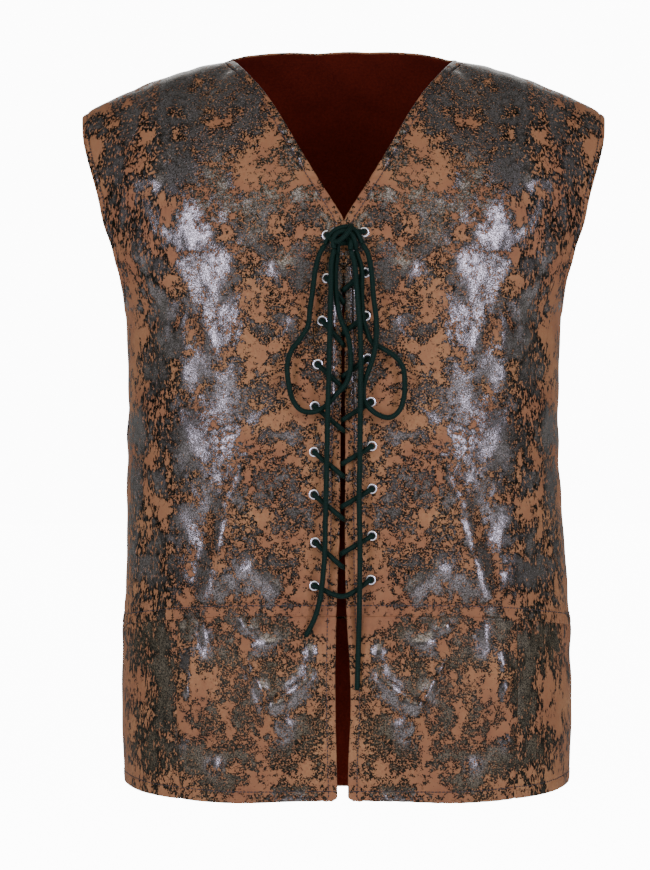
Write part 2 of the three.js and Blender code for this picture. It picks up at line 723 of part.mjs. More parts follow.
function freeLace(rows) {
  return cord(rows.map((row) => inFront(row.x, row.z, row.rise)));
}

function knot() {
  const ball = new THREE.SphereGeometry(1, KNOT_SEGMENTS, KNOT_SEGMENTS / 2 + 1);
  ball.scale(KNOT.halfWidth, KNOT.halfDepth, KNOT.halfHeight);
  const centre = inFront(KNOT.x, KNOT.z, KNOT.rise);
  return ball.translate(centre.x, centre.y, centre.z);
}

add('front_right', frontPanel(-1), LEATHER);
add('front_left', frontPanel(1), LEATHER);
add('back', backPanel(), LEATHER);
add('skirt_front_right', skirtFront(-1), LEATHER);
add('skirt_front_left', skirtFront(1), LEATHER);
add('skirt_back', skirtBack(), LEATHER);
for (const side of ['right', 'left']) {
  SEATS[side].forEach((seat, row) => add(`eyelet_${side}_${row + 1}`, eyelet(seat), METAL));
}
add('lacing', lacing(), LACE);
add('lace_knot', knot(), LACE);
add('lace_loop_right', freeLace(LOOP_RIGHT), LACE);
add('lace_loop_left', freeLace(LOOP_LEFT), LACE);
add('lace_end_right', freeLace(END_RIGHT), LACE);
add('lace_end_left', freeLace(END_LEFT), LACE);

export default group;
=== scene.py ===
"""Looks of a sleeveless laced vest in blotched leather cloth, worn shape with nobody in it.

Sizes are in millimetres here and become metres where a mesh is made.
Left and right are the wearer's: the left front is on +X, the front faces -Y.
"""
from collections import namedtuple

import bmesh
import bpy
import math
import numpy as np
from mathutils import Matrix, Vector


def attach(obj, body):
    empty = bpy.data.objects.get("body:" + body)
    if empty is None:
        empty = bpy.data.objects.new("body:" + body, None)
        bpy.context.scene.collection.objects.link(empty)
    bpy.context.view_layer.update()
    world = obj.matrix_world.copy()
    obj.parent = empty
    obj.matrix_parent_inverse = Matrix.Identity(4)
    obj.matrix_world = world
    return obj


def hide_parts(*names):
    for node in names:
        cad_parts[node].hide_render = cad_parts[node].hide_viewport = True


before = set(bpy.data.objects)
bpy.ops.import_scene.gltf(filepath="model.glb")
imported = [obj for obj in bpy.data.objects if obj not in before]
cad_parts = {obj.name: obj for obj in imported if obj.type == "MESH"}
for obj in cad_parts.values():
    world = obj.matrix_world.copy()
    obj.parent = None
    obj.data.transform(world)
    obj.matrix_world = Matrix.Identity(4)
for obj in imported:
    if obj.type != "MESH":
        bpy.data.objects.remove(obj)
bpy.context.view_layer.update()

# Driving sizes, the same as the solids', but that the seams are closed so that no light comes
# through, the cloth is thinner, and the waist seam, the hem and the hang of the lower half differ
# by a few millimetres
MM = 0.001
CLOTH = 1.8
SEAM_GAP = 0.04
NECK_DEPTH = 158
NECK_HALF_WIDTH = 104
BACK_NECK_DROP = 14
UNDERARM_X = 204
UNDERARM_Z = -240
FRONT_HEM = -686
SIDE_HEM = -680
HEM_DROP = 3.5
HEM_DROP_X = 110
HEM_DROP_WIDTH = 55
HEM_LIFT = 5.0
HEM_LIFT_X = 165
HEM_LIFT_WIDTH = 40
BACK_HEM = -693
WAIST_FRONT = -518.5
WAIST_SIDE = -529
WAIST_POWER = 4
SKIRT_SEAM_X = 151
PLAN_POWER = 2.35
SHOULDER_POWER = 1.7
SHOULDER_HEIGHT = {"front": 170, "back": 125}
CENTRE_X = -0.4
SWAY = 3.0
SWAY_START = -380
SWAY_REACH = 120
SWAY_FULL_X = 150
SIDE_X = 135
SIDE_WIDTH = 45
SKIRT_CORNER = 5.0
SKIRT_CORNER_IN = 4.0
ROW_SAMPLES = 401
EDGE_INSET = 1.0
RIM_REACH = 1.45

# Relief of the turned edges and the stitches that draw them in
EDGE_HEIGHT = 0.5
EDGE_SOFTNESS = 0.7
DRAWN_DEPTH = 1.0
DRAWN_WIDTH = 1.1
SEAM_SHARE = 0.8
GATHERED_BELOW = 1.2
GATHERED_ABOVE = 1.9
SIDE_BLEND = 80

# Lace and eyelets
LACE_DIAMETER = 4.8
PLAIT_PITCH = 3.0
PLAIT_STRANDS = 5
BEND_RADIUS = 2.9
FREE_RISE = 8.9
TOP_RISE = 13.6
REST_RISE = 2.7
FRONT_BEND_START = 1.3
BACK_BEND_START = 3.1
PASS_DROP = {"right": 22, "left": 16}
KNOT_X = -1.0
KNOT_HALF_WIDTH = 8.5
SECOND_STRAND_DEPTH = 4.6
SAG_X = -1
SAG_Z = -500
LACE_END_SHARE = 0.62
RING_RADIUS = 3.72
RING_ROLL = 1.08
RING_FLATTENED = 0.72
RING_LIFT = 0.55
BARREL_RADIUS = 2.95
BARREL_LENGTH = 3.3
BARREL_DROP = 1.1
BARREL_WALL = 0.3
TAIL_STEP = 0.2
TAIL_FLARE = 1.4

# Coat of the leather: how much each pattern adds to it, the level at which it is whole, and its
# finish beside the bare leather's
COAT_BLOTCH = 1.6
COAT_STREAK = 1.9
COAT_SHARE = 0.72
COAT_CRUMB = 2.1
COAT_CRACK = 2.6
COAT_EDGE = 0.31
COAT_SOFTNESS = 0.03
COAT_METALLIC = 0.88
DULL_SKIRT_ROUGHNESS = 0.5
BARE_ROUGHNESS = 0.75
UPRIGHT_SQUEEZE = 0.4
COAT_HEIGHT = 0.10
GRAIN_HEIGHT = 0.15
# Below GLOSS_END the coat turns dull and is painted darker, a painted shade, but not on the bulges
GLOSS_END = -490
GLOSS_FADE = 35
BULGE_GLOSS = 1.4
BULGE_COVER = 0.5
BULGE_COVER_MOST = 0.9
CRINKLE_HEIGHT = 0.5

# Sewing
STITCH_PITCH = 3.4
STITCH_LENGTH = 2.8
STITCH_RADIUS = 0.5
STITCH_LIFT = 0.12
STITCH_FLAT_SHARE = 0.27
STITCH_END_SHARE = 0.4
STITCH_END_DIP = 0.45
STITCH_END_WIDTH = 0.6
HEM_STITCH_IN = 9.5
EDGE_STITCH_IN = 7.0
ARMHOLE_STITCH_IN = 5.0
WAIST_STITCH_UP = 9.0


def table(columns, *rows, defaults=()):
    """Rows of numbers under named columns."""
    Row = namedtuple("Row", columns, defaults=defaults)
    return [Row(*row) for row in rows]


# The body's half width and its depth in front and behind, at each height
GIRTH = table(
    "z half front back",
    (30, 273, 107, 99),
    (-54, 268, 112, 108),
    (-94, 262, 115, 113),
    (-132, 252, 118, 117),
    (-170, 236, 122, 120),
    (-203, 223, 124.6, 121),
    (-229, 209, 126, 121),
    (-240, 204, 126.4, 120.5),
    (-280, 202.4, 126.6, 117.5),
    (-320, 202, 125.2, 114),
    (-395, 203.5, 121.5, 108),
    (-452, 204.5, 119, 106),
    (-490, 207, 118.5, 107),
    (-524, 209.6, 119, 109),
    (-565, 211, 121, 113),
    (-621, 211, 124, 119),
    (-658, 209.6, 126, 123),
    (-700, 206, 127.5, 126),
)

SHOULDER = table(
    "x z",
    (0, 24), (40, 21.5), (70, 15.5), (90, 7.5), (104, 0), (127, -5), (144, -10), (175, -19), (199, -29),
    (218, -38), (235, -47.5), (245, -55),
)

ARMHOLE = table(
    "z front back",
    (-55, 245, 245), (-76, 243, 243), (-94, 239, 239), (-113, 234, 234), (-132, 229, 229.5),
    (-151, 224, 225), (-170, 218.5, 221), (-188, 213, 216.5), (-207, 208, 212), (-226, 205, 207),
    (-240, 204, 204),
)

NECK_EDGE = table(
    "z x",
    (0, 104), (-14, 92), (-30, 78), (-47, 66), (-63, 56), (-79, 47), (-94, 38.5), (-109, 29.7),
    (-124, 20.5), (-152, 3), (-158, 0.6),
)

FRONT_EDGES = table(
    "z right left",
    (-158, -0.7, -0.1), (-212, -0.8, 0.0), (-235, -1.6, 0.4), (-280, -2.4, 0.8), (-320, -2.9, 1.0),
    (-367, -3.7, 1.4), (-407, -3.9, 1.2), (-450, -4.7, 1.2), (-483, -6.2, 1.5), (-505, -7.1, 2.0),
    (-527, -7.7, 2.9), (-549, -8.2, 4.5), (-571, -8.4, 5.5), (-604, -8.4, 6.2), (-647, -7.5, 4.3),
    (-700, -6.0, 3.2),
)

# The lace follows the parting as the solids have it
PARTING = table(
    "z x",
    (-158, -0.4), (-196, -0.4), (-207, -0.6), (-320, -0.75), (-367, -1.05), (-407, -1.2), (-450, -1.55),
    (-483, -2.25), (-505, -2.55),
)

EYELET_ROWS = table(
    "x_right z_right x_left z_left",
    (-15.7, -170.9, 18.2, -168.1),
    (-15.7, -210.2, 19.3, -205.1),
    (-20.0, -248.9, 19.5, -244.5),
    (-23.9, -288.5, 21.5, -283.4),
    (-26.6, -326.7, 24.3, -322.9),
    (-27.3, -368.3, 25.4, -362.9),
    (-27.5, -407.1, 25.4, -401.9),
    (-26.2, -450.9, 25.4, -444.8),
    (-27.2, -490.5, 24.3, -485.1),
)

# Folds shared with the solids, then the finer creases of the cloth
FRONT_FOLDS = table(
    "x1 z1 x2 z2 width height",
    (112, -14, 146, -72, 22, -2.5), (160, -232, 174, -288, 20, 3.5), (92, -384, 134, -506, 26, 4),
    (78, -480, 46, -512, 20, 2.5), (94, -556, 68, -600, 22, 3), (66, -602, 34, -578, 20, 3),
    (150, -300, 165, -420, 34, -3),
)
BACK_FOLDS = table(
    "x1 z1 x2 z2 width height",
    (60, -60, 150, -120, 34, -3), (120, -250, 150, -380, 34, 4), (40, -470, 120, -500, 26, 3.5),
    (70, -560, 80, -650, 34, 3.5),
)
FRONT_CREASES = table(
    "x1 z1 x2 z2 width height",
    (109, -10, 128, -32, 5, -1.6), (128, -32, 141, -62, 6, -1.8), (128, -32, 158, -29, 5, -1.2),
    (162, -236, 168, -262, 6, 2.0), (176, -240, 179, -300, 7, -1.8), (150, -262, 146, -300, 9, 1.5),
    (94, -386, 110, -420, 8, 1.8), (112, -440, 128, -500, 9, 2.2), (126, -430, 138, -480, 8, -1.6),
    (82, -372, 40, -340, 8, 1.8), (86, -384, 52, -352, 7, -1.2), (84, -476, 52, -504, 8, 1.8),
    (60, -430, 34, -452, 8, 1.3), (92, -556, 68, -598, 4, 2.0), (96, -566, 74, -606, 6, -1.5),
    (66, -598, 30, -576, 6, 2.0), (64, -610, 36, -624, 6, 1.5), (98, -520, 84, -534, 6, 1.8),
    (112, -300, 122, -250, 12, 1.8), (96, -190, 118, -230, 12, 1.4), (60, -200, 40, -240, 9, 1.0),
    (44, -250, 70, -292, 9, 1.2), (140, -560, 148, -640, 10, 1.4), (120, -600, 112, -670, 12, 1.4),
    (182, -330, 176, -400, 10, 1.5), (186, -450, 178, -510, 10, -1.5), (176, -120, 196, -190, 12, 1.5),
    (150, -90, 186, -140, 12, -1.2),
)
BACK_CREASES = table(
    "x1 z1 x2 z2 width height",
    (20, -40, 90, -66, 9, 1.6), (120, -50, 170, -110, 10, 1.8), (150, -200, 180, -260, 9, 2.0),
    (168, -236, 140, -300, 10, 1.8), (30, -180, 36, -330, 14, 1.6), (90, -300, 70, -420, 12, 1.8),
    (140, -400, 110, -500, 10, 2.2), (60, -440, 20, -490, 9, 1.8), (160, -470, 130, -515, 8, 2.0),
    (40, -560, 52, -640, 10, 1.8), (120, -560, 100, -660, 11, 2.0), (170, -550, 176, -640, 10, 1.6),
)

# Small bulges of the skirt that catch the light, each with a glossy, whole coat on it, spared the skirt's
# painted shade
BULGES = table(
    "x z wide tall height",
    (91, -529, 7, 6, 3.0), (72, -543, 10, 7, 3.6), (31, -551, 6, 8, 2.4), (86, -566, 5, 9, 1.6),
    (76, -586, 6, 10, 1.8), (65, -601, 9, 6, 2.2), (51, -598, 10, 6, 2.2), (41, -586, 9, 10, 2.4),
    (33, -570, 6, 9, 1.6), (57, -621, 8, 11, 2.8), (128, -540, 6, 12, 2.6), (143, -562, 5, 10, 2.2),
    (145, -588, 5, 10, 2.0), (148, -632, 4, 8, 1.6), (118, -655, 7, 6, 1.4), (60, -684, 14, 5, 1.2),
    (34, -684, 12, 5, 1.2),
)

# Coat patches: centre, half width, half height and how whole the coat is there
FRONT_PATCHES = table(
    "x z wide tall coat",
    (8, -215, 7, 30, 1.0), (9, -300, 7, 34, 0.8), (38, -197, 12, 13, 1.1), (52, -96, 9, 26, 0.7),
    (122, -14, 26, 14, 0.8), (160, -38, 34, 18, 0.85), (202, -66, 14, 30, 0.8), (44, -250, 20, 46, 0.4),
    (40, -400, 18, 60, 0.35), (143, -105, 23, 18, 1.0), (174, -120, 16, 7, 0.8),
    (210, -94, 13, 20, 0.8), (165, -89, 13, 9, 0.8), (138, -74, 13, 7, 0.8), (112, -78, 16, 7, 0.9),
    (89, -66, 11, 11, 0.8), (106, -42, 20, 13, 0.9), (81, -47, 9, 13, 0.8), (140, -53, 9, 16, 0.9),
    (171, -63, 20, 13, 0.8), (192, -51, 13, 7, 0.7), (228, -65, 9, 11, 0.7), (114, -130, 16, 16, 0.7),
    (76, -148, 20, 18, 0.7), (35, -134, 13, 11, 0.6), (35, -153, 15, 7, 0.7), (140, -148, 9, 9, 0.7),
    (142, -171, 22, 11, 1.0), (89, -174, 9, 16, 0.7), (51, -165, 5, 7, 0.6), (72, -184, 8, 8, 0.8),
    (65, -202, 22, 13, 0.6), (171, -156, 11, 20, 0.5), (176, -197, 13, 9, 0.7),
    (120, -218, 18, 38, 1.1), (145, -199, 13, 7, 0.8), (163, -242, 13, 16, 0.8), (57, -246, 18, 7, 0.6),
    (176, -230, 6, 24, 0.7), (207, -152, 8, 24, 0.6), (191, -167, 7, 27, 0.5), (160, -266, 13, 20, 1.0),
    (171, -294, 11, 20, 0.9), (117, -263, 15, 16, 1.0), (133, -294, 15, 16, 1.0),
    (111, -319, 16, 24, 1.1), (100, -288, 11, 7, 0.8), (67, -256, 15, 11, 0.6), (77, -314, 13, 11, 0.6),
    (85, -337, 7, 5, 0.8), (139, -367, 20, 29, 1.1), (124, -393, 15, 20, 1.0), (188, -348, 9, 16, 1.0),
    (192, -401, 5, 37, 0.8), (142, -434, 13, 18, 1.0), (74, -399, 11, 16, 0.8), (55, -392, 11, 15, 0.6),
    (64, -354, 15, 6, 0.8), (41, -406, 13, 11, 0.7), (55, -434, 11, 20, 0.6), (97, -408, 8, 18, 0.8),
    (114, -430, 6, 24, 0.8), (80, -440, 5, 11, 0.7), (174, -388, 11, 9, 0.6), (169, -430, 6, 9, 0.5),
    (178, -458, 15, 9, 0.8), (97, -460, 13, 7, 0.5), (26, -272, 11, 9, 0.7), (30, -298, 11, 5, 0.6),
    (172, -477, 20, 16, 0.9), (90, -480, 16, 20, 1.0), (69, -486, 11, 20, 1.0), (129, -480, 7, 24, 1.0),
    (62, -472, 11, 9, 0.6), (114, -496, 9, 13, 0.8), (141, -525, 9, 13, 0.9), (173, -541, 16, 20, 0.8),
    (169, -568, 11, 16, 0.9), (114, -555, 20, 18, 0.6), (87, -523, 22, 7, 0.8), (78, -537, 7, 7, 0.8),
    (57, -532, 11, 16, 0.8), (73, -559, 13, 11, 0.6), (73, -579, 15, 11, 0.9), (38, -575, 13, 13, 0.9),
    (80, -589, 9, 20, 0.9), (92, -611, 9, 22, 0.9), (117, -615, 16, 13, 0.6), (165, -599, 9, 26, 0.9),
    (194, -550, 7, 15, 0.7), (142, -650, 20, 13, 0.8), (108, -647, 18, 11, 0.8),
    (43, -629, 18, 16, 0.9), (21, -615, 7, 15, 0.7), (23, -658, 9, 9, 0.6), (114, -667, 18, 9, 0.8),
    (177, -644, 13, 22, 0.7), (50, -677, 18, 5, 0.7),
)
BACK_PATCHES = table(
    "x z wide tall coat",
    (30, -60, 30, 16, 1.0), (110, -70, 30, 22, 0.9), (180, -100, 18, 30, 0.9), (60, -130, 22, 26, 0.8),
    (140, -160, 28, 20, 0.9), (10, -200, 24, 30, 1.0), (90, -230, 30, 22, 0.8),
    (170, -270, 20, 34, 0.9), (50, -300, 20, 30, 0.9), (120, -340, 26, 24, 1.0),
    (20, -380, 26, 20, 0.7), (180, -400, 16, 30, 0.9), (80, -430, 24, 28, 1.0),
    (150, -480, 26, 22, 0.9), (30, -500, 22, 20, 0.8), (60, -570, 30, 22, 0.9),
    (130, -600, 22, 28, 1.0), (190, -590, 14, 40, 0.9), (20, -650, 26, 18, 0.8),
    (100, -670, 30, 12, 0.8),
)


def lace_route(*rows):
    """A free lace's route, as in the solids: x, z and its rise above the vest, if not FREE_RISE."""
    return table("x z rise", *rows, defaults=[FREE_RISE])


LOOP_RIGHT = lace_route(
    (-17.5, -180), (-22.5, -189), (-26.1, -202.6), (-28.5, -221), (-31.1, -239), (-33, -254),
    (-39.5, -265), (-48.3, -277), (-51.7, -290), (-50.5, -306), (-46.7, -321), (-39, -330.5),
    (-27.4, -332), (-17.5, -327), (-6.5, -315.5), (1.8, -306), (5.7, -292), (5.7, -276), (3, -262),
    (-2.6, -249), (-6, -236), (-7.6, -219), (-7.6, -200), (-6, -188),
)
LOOP_LEFT = lace_route(
    (10.4, -185), (15.6, -201), (16, -221), (17, -245), (20.3, -258), (26.5, -270), (36.2, -275),
    (46, -281.5), (53.2, -291), (55.1, -304), (54.3, -319), (50, -331), (42, -337), (33, -335.5),
    (24.5, -330), (18.6, -322), (17.5, -312.5), (19.4, -302, 10), (23.5, -291, 11.8),
    (27, -279.5, TOP_RISE), (29.3, -264, TOP_RISE), (28.9, -245.5, 12.5), (26.6, -227, 11),
    (24.6, -203, 10), (21.5, -188, 9.5), (16.5, -179),
)
END_RIGHT = lace_route(
    (-9.2, -184, TOP_RISE), (-11.6, -196, TOP_RISE), (-12.1, -215, TOP_RISE), (-12.4, -232, TOP_RISE),
    (-13.1, -260, TOP_RISE), (-13.6, -288, TOP_RISE), (-14.5, -316, TOP_RISE), (-15, -336, TOP_RISE),
    (-15.3, -352, 10.5), (-15.6, -370), (-16.3, -400), (-17, -430), (-17.6, -460), (-19.2, -481),
    (-21.5, -500), (-26.5, -519, 5.5), (-35.2, -537, REST_RISE),
)
END_LEFT = lace_route(
    (6, -185, TOP_RISE), (9.4, -197, TOP_RISE), (11, -214, TOP_RISE), (12.4, -232, TOP_RISE),
    (14.6, -258, TOP_RISE), (15.2, -285, TOP_RISE), (14.9, -310, TOP_RISE), (14.7, -334, TOP_RISE),
    (14.5, -352, 10.5), (14.4, -370), (13.7, -412), (14.4, -450), (14.2, -484), (14, -506, 8),
    (13.6, -526, 4.5), (13, -548, REST_RISE), (11.8, -585.5, REST_RISE),
)


# Reading a table smoothly between its rows
def read_table(rows, key, column, value):
    keys = np.array([getattr(row, key) for row in rows], float)
    values = np.array([getattr(row, column) for row in rows], float)
    if keys[0] > keys[-1]:
        keys = keys[::-1]
        values = values[::-1]
    slopes = np.empty_like(keys)
    slopes[1:-1] = (values[2:] - values[:-2]) / (keys[2:] - keys[:-2])
    slopes[0] = (values[1] - values[0]) / (keys[1] - keys[0])
    slopes[-1] = (values[-1] - values[-2]) / (keys[-1] - keys[-2])
    value = np.asarray(value, float)
    i = np.clip(np.searchsorted(keys, value, side="right") - 1, 0, len(keys) - 2)
    span = keys[i + 1] - keys[i]
    t = np.clip((value - keys[i]) / span, 0, 1)
    return (
        (2 * t**3 - 3 * t**2 + 1) * values[i]
        + (t**3 - 2 * t**2 + t) * slopes[i] * span
        + (3 * t**2 - 2 * t**3) * values[i + 1]
        + (t**3 - t**2) * slopes[i + 1] * span
    )


def fold_height(folds, x, z):
    height = np.zeros(np.broadcast(x, z).shape)
    for fold in folds:
        run = np.array([fold.x2 - fold.x1, fold.z2 - fold.z1], float)
        along = ((np.abs(x) - fold.x1) * run[0] + (z - fold.z1) * run[1]) / (run @ run)
        along = np.clip(along, 0, 1)
        away = np.hypot(np.abs(x) - fold.x1 - along * run[0], z - fold.z1 - along * run[1])
        height += fold.height * np.exp(-((away / fold.width) ** 2))
    return height


def body_depth(side, x, z):
    half_width = read_table(GIRTH, "z", "half", z)
    reach = np.minimum(1, np.abs(x) / half_width)
    plan = (1 - reach**PLAN_POWER) ** (1 / PLAN_POWER)
    below = (read_table(SHOULDER, "x", "z", np.abs(x)) - z) / SHOULDER_HEIGHT[side]
    drop = np.clip(below, 0, 1)
    profile = (1 - (1 - drop) ** SHOULDER_POWER) ** (1 / SHOULDER_POWER)
    folds = fold_height(FRONT_FOLDS if side == "front" else BACK_FOLDS, x, z)
    return read_table(GIRTH, "z", side, z) * plan * profile + folds * profile * plan**2


def in_front(x, z, rise):
    depth = float(body_depth("front", np.float64(x), np.float64(z)))
    return Vector((x, -SEAM_GAP / 2 - depth - rise, z))


def angle_of(x, z):
    reach = np.minimum(1, np.abs(x) / read_table(GIRTH, "z", "half", z))
    return np.sign(x) * np.arcsin(reach ** (PLAN_POWER / 2))


def x_of_angle(angle, z):
    sine = np.sin(angle)
    return np.sign(sine) * np.abs(sine) ** (2 / PLAN_POWER) * read_table(GIRTH, "z", "half", z)


def mix(a, b, t):
    return a + (b - a) * t


def run_along(line):
    """How far along a line of points each of them is, in mm."""
    return np.concatenate([[0], np.cumsum(np.linalg.norm(np.diff(line, axis=0), axis=1))])


def points_at(at, run, line):
    """The places along a line, given as far along it as its run says."""
    return np.stack([np.interp(at, run, line[:, c]) for c in range(3)], axis=-1)


# Outlines of the panels
def waist_height(x):
    return mix(WAIST_FRONT, WAIST_SIDE, np.minimum(1, np.abs(x) / UNDERARM_X) ** WAIST_POWER)


def centre_place(side, share):
    """Where a front's row starts: on the front edge, and above the V's tip on the neck edge."""
    top = WAIST_FRONT if share <= 0 else 0
    z = mix(UNDERARM_Z, top, abs(share))
    if z <= -NECK_DEPTH:
        edge = "left" if side > 0 else "right"
        return float(read_table(FRONT_EDGES, "z", edge, z)), z
    return side * float(read_table(NECK_EDGE, "z", "x", z)), z


def side_place(column, side, share):
    """Where a row ends: on the side seam, and above the underarm on the armhole edge."""
    if share <= 0:
        z = mix(UNDERARM_Z, WAIST_SIDE, -share)
        return side * float(read_table(GIRTH, "z", "half", z)), z
    z = mix(UNDERARM_Z, SHOULDER[-1].z, share)
    return side * float(read_table(ARMHOLE, "z", column, z)), z


def shoulder_height(x):
    return read_table(SHOULDER, "x", "z", np.abs(x))


def back_top_height(x):
    reach = np.minimum(1, np.abs(x) / NECK_HALF_WIDTH)
    return shoulder_height(x) - BACK_NECK_DROP * (1 - reach**2)


def row_between(start, end, way):
    turn = mix(float(angle_of(*start)), float(angle_of(*end)), way)
    z = mix(start[1], end[1], way)
    return x_of_angle(turn, z), z


def front_row(side, share):
    """One row of a front, from its centre edge outwards: many points, x, y and z."""
    way = np.linspace(0, 1, ROW_SAMPLES)
    x, z = row_between(centre_place(side, share), side_place("front", side, share), way)
    if share > 0:
        top_x, top_z = row_between(centre_place(side, 1), side_place("front", side, 1), way)
        z = z + share**3 * (shoulder_height(top_x) - top_z)
    else:
        low_x, low_z = row_between(centre_place(side, -1), side_place("front", side, -1), way)
        z = z + share**4 * (waist_height(low_x) - low_z)
    y = -SEAM_GAP / 2 - body_depth("front", x, z)
    return np.stack([x, y, z], axis=-1)


def back_row(share):
    """One row of the back, from the left side to the right side."""
    way = np.linspace(0, 1, ROW_SAMPLES)
    x, z = row_between(side_place("back", 1, share), side_place("back", -1, share), way)
    if share > 0:
        top_x, top_z = row_between(side_place("back", 1, 1), side_place("back", -1, 1), way)
        z = z + share**1.5 * (back_top_height(top_x) - top_z)
    y = SEAM_GAP / 2 + body_depth("back", x, z)
    return np.stack([x, y, z], axis=-1)


def skirt_row(angle, up):
    """One row of the skirt band, at each angle round the body, up from 0 at the hem."""
    forward = np.sqrt(np.maximum(0, np.cos(angle)))
    backward = np.sqrt(np.maximum(0, -np.cos(angle)))
    hem = SIDE_HEM + (FRONT_HEM - SIDE_HEM) * forward + (BACK_HEM - SIDE_HEM) * backward
    hem_x = np.abs(x_of_angle(angle, np.full_like(angle, SIDE_HEM)))
    hem -= HEM_DROP * forward * np.exp(-(((hem_x - HEM_DROP_X) / HEM_DROP_WIDTH) ** 2))
    hem += HEM_LIFT * np.clip((hem_x - HEM_LIFT_X) / HEM_LIFT_WIDTH, 0, 1) ** 2
    waist_x = x_of_angle(angle, np.full_like(angle, WAIST_SIDE))
    top = np.where(np.cos(angle) > 0, waist_height(waist_x), WAIST_SIDE)
    z = mix(hem, top, up)
    x = x_of_angle(angle, z)
    y = np.where(np.cos(angle) > 0, -body_depth("front", x, z), body_depth("back", x, z))
    return np.stack([x, y, z], axis=-1)


# Sheets of cloth
def grid_normals(grid):
    across = np.gradient(grid, axis=1)
    up = np.gradient(grid, axis=0)
    normal = np.cross(across, up)
    return normal / np.maximum(1e-9, np.linalg.norm(normal, axis=-1, keepdims=True))


def distances(grid, axis, from_end=False):
    """Distance along the cloth from one edge of the grid, in mm."""
    steps = np.linalg.norm(np.diff(grid, axis=axis), axis=-1)
    pad = [(0, 0), (0, 0)]
    pad[axis] = (1, 0)
    run = np.cumsum(np.pad(steps, pad), axis=axis)
    if from_end:
        run = run.max(axis=axis, keepdims=True) - run
    return run


def grid_faces(index):
    """The four-cornered faces between the points of a grid, by their numbers."""
    corners = [index[:-1, :-1], index[:-1, 1:], index[1:, 1:], index[1:, :-1]]
    return np.stack([corner.ravel() for corner in corners], axis=1)


def closed(index):
    """A strip of point numbers with its first row again at the end."""
    return np.concatenate([index, index[:1]])


def rounded_wall(grid):
    """Outer face, inner face and a round rim: the points, the faces and which faces are inside."""
    normal = grid_normals(grid)
    index = np.arange(grid[..., 0].size).reshape(grid.shape[:2])
    ring = np.concatenate([index[0, :-1], index[:-1, -1], index[-1, :0:-1], index[:0:-1, 0]])
    outward = np.zeros_like(grid)
    outward[0] += grid[0] - grid[1]
    outward[-1] += grid[-1] - grid[-2]
    outward[:, 0] += grid[:, 0] - grid[:, 1]
    outward[:, -1] += grid[:, -1] - grid[:, -2]
    edge, edge_normal, outward = [part.reshape(-1, 3)[ring] for part in (grid, normal, outward)]
    outward -= edge_normal * np.sum(outward * edge_normal, axis=1, keepdims=True)
    outward /= np.maximum(1e-9, np.linalg.norm(outward, axis=1, keepdims=True))
    points = [grid.reshape(-1, 3), (grid - normal * CLOTH).reshape(-1, 3)]
    rings = [ring]
    for turn in np.radians([45, 90, 135]):
        rings.append(sum(map(len, points)) + np.arange(len(ring)))
        down = (1 - math.cos(turn)) * CLOTH / 2
        points.append(edge - edge_normal * down + outward * math.sin(turn) * RIM_REACH)
    rings.append(ring + index.size)
    outer = grid_faces(index)
    inner = outer[:, [0, 3, 2, 1]] + index.size
    rim = grid_faces(closed(np.stack(rings, axis=1)))
    inside = np.repeat([0, 1, 0], [len(outer), len(inner), len(rim)])
    return np.concatenate(points), np.concatenate([outer, inner, rim]), inside


def link(name, mesh):
    piece = bpy.data.objects.new(name, mesh)
    bpy.context.scene.collection.objects.link(piece)
    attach(piece, "root")
    return piece


def mesh_piece(name, points_mm, faces):
    mesh = bpy.data.meshes.new(name)
    mesh.from_pydata((points_mm * MM).tolist(), [], [list(map(int, face)) for face in faces])
    mesh.update()
    mesh.polygons.foreach_set("use_smooth", [True] * len(mesh.polygons))
    return link(name, mesh)


def pattern_place(points, mirrored, shift):
    """Where a point reads the pattern: the same on both fronts."""
    place = points * MM
    if mirrored:
        place[:, 0] = np.abs(place[:, 0] - CENTRE_X * MM)
    place[:, 0] += shift
    return place


def side_share(points):
    """How far a point is on the side of the body, where the pattern is drawn out upright."""
    return np.clip((np.abs(points[:, 0]) - SIDE_X) / SIDE_WIDTH, 0, 1)


def bulge_height(x, z):
    height = np.zeros(np.shape(x))
    for bulge in BULGES:
        away = ((np.abs(x) - bulge.x) / bulge.wide) ** 2 + ((z - bulge.z) / bulge.tall) ** 2
        height += bulge.height * np.exp(-away)
    return height


def coat_gloss(points):
    """How glossy the coat is: glossy above the waist; on the skirt, but for its bulges, dull and darkened
    by painted shade.
    """
    dull_skirt_painted_shade = np.clip((GLOSS_END - points[:, 2]) / GLOSS_FADE, 0, 1)
    bulges = np.minimum(1, bulge_height(points[:, 0], points[:, 2]) * BULGE_GLOSS)
    return np.maximum(1 - dull_skirt_painted_shade, bulges)


def coat_cover(points):
    """How whole the glossy coat is at each point, from the listed patches."""
    x = np.abs(points[:, 0] - CENTRE_X)
    z = points[:, 2]
    cover = np.zeros(len(points))
    front = points[:, 1] < 0
    for patches, here in ((FRONT_PATCHES, front), (BACK_PATCHES, ~front)):
        for patch in patches:
            away = ((x - patch.x) / patch.wide) ** 2 + ((z - patch.z) / patch.tall) ** 2
            cover = np.where(here, np.maximum(cover, patch.coat * np.exp(-0.5 * away)), cover)
    bulges = np.where(front, bulge_height(points[:, 0], z), 0)
    return np.maximum(cover, np.minimum(BULGE_COVER_MOST, bulges * BULGE_COVER))


def cloth_piece(name, panel):
    points, faces, inside = rounded_wall(panel.grid)
    piece = mesh_piece(name, points, faces)
    mesh = piece.data
    place = mesh.attributes.new("cloth_place", "FLOAT_VECTOR", "POINT")
    place.data.foreach_set("vector", pattern_place(points, panel.mirrored, panel.shift).ravel())
    readings = {"coat_cover": coat_cover, "coat_gloss": coat_gloss, "cloth_side": side_share}
    for attribute, reading in readings.items():
        layer = mesh.attributes.new(attribute, "FLOAT", "POINT")
        layer.data.foreach_set("value", reading(points))
    mesh.materials.append(LEATHER)
    mesh.materials.append(BACKING)
    mesh.polygons.foreach_set("material_index", inside)
    return piece


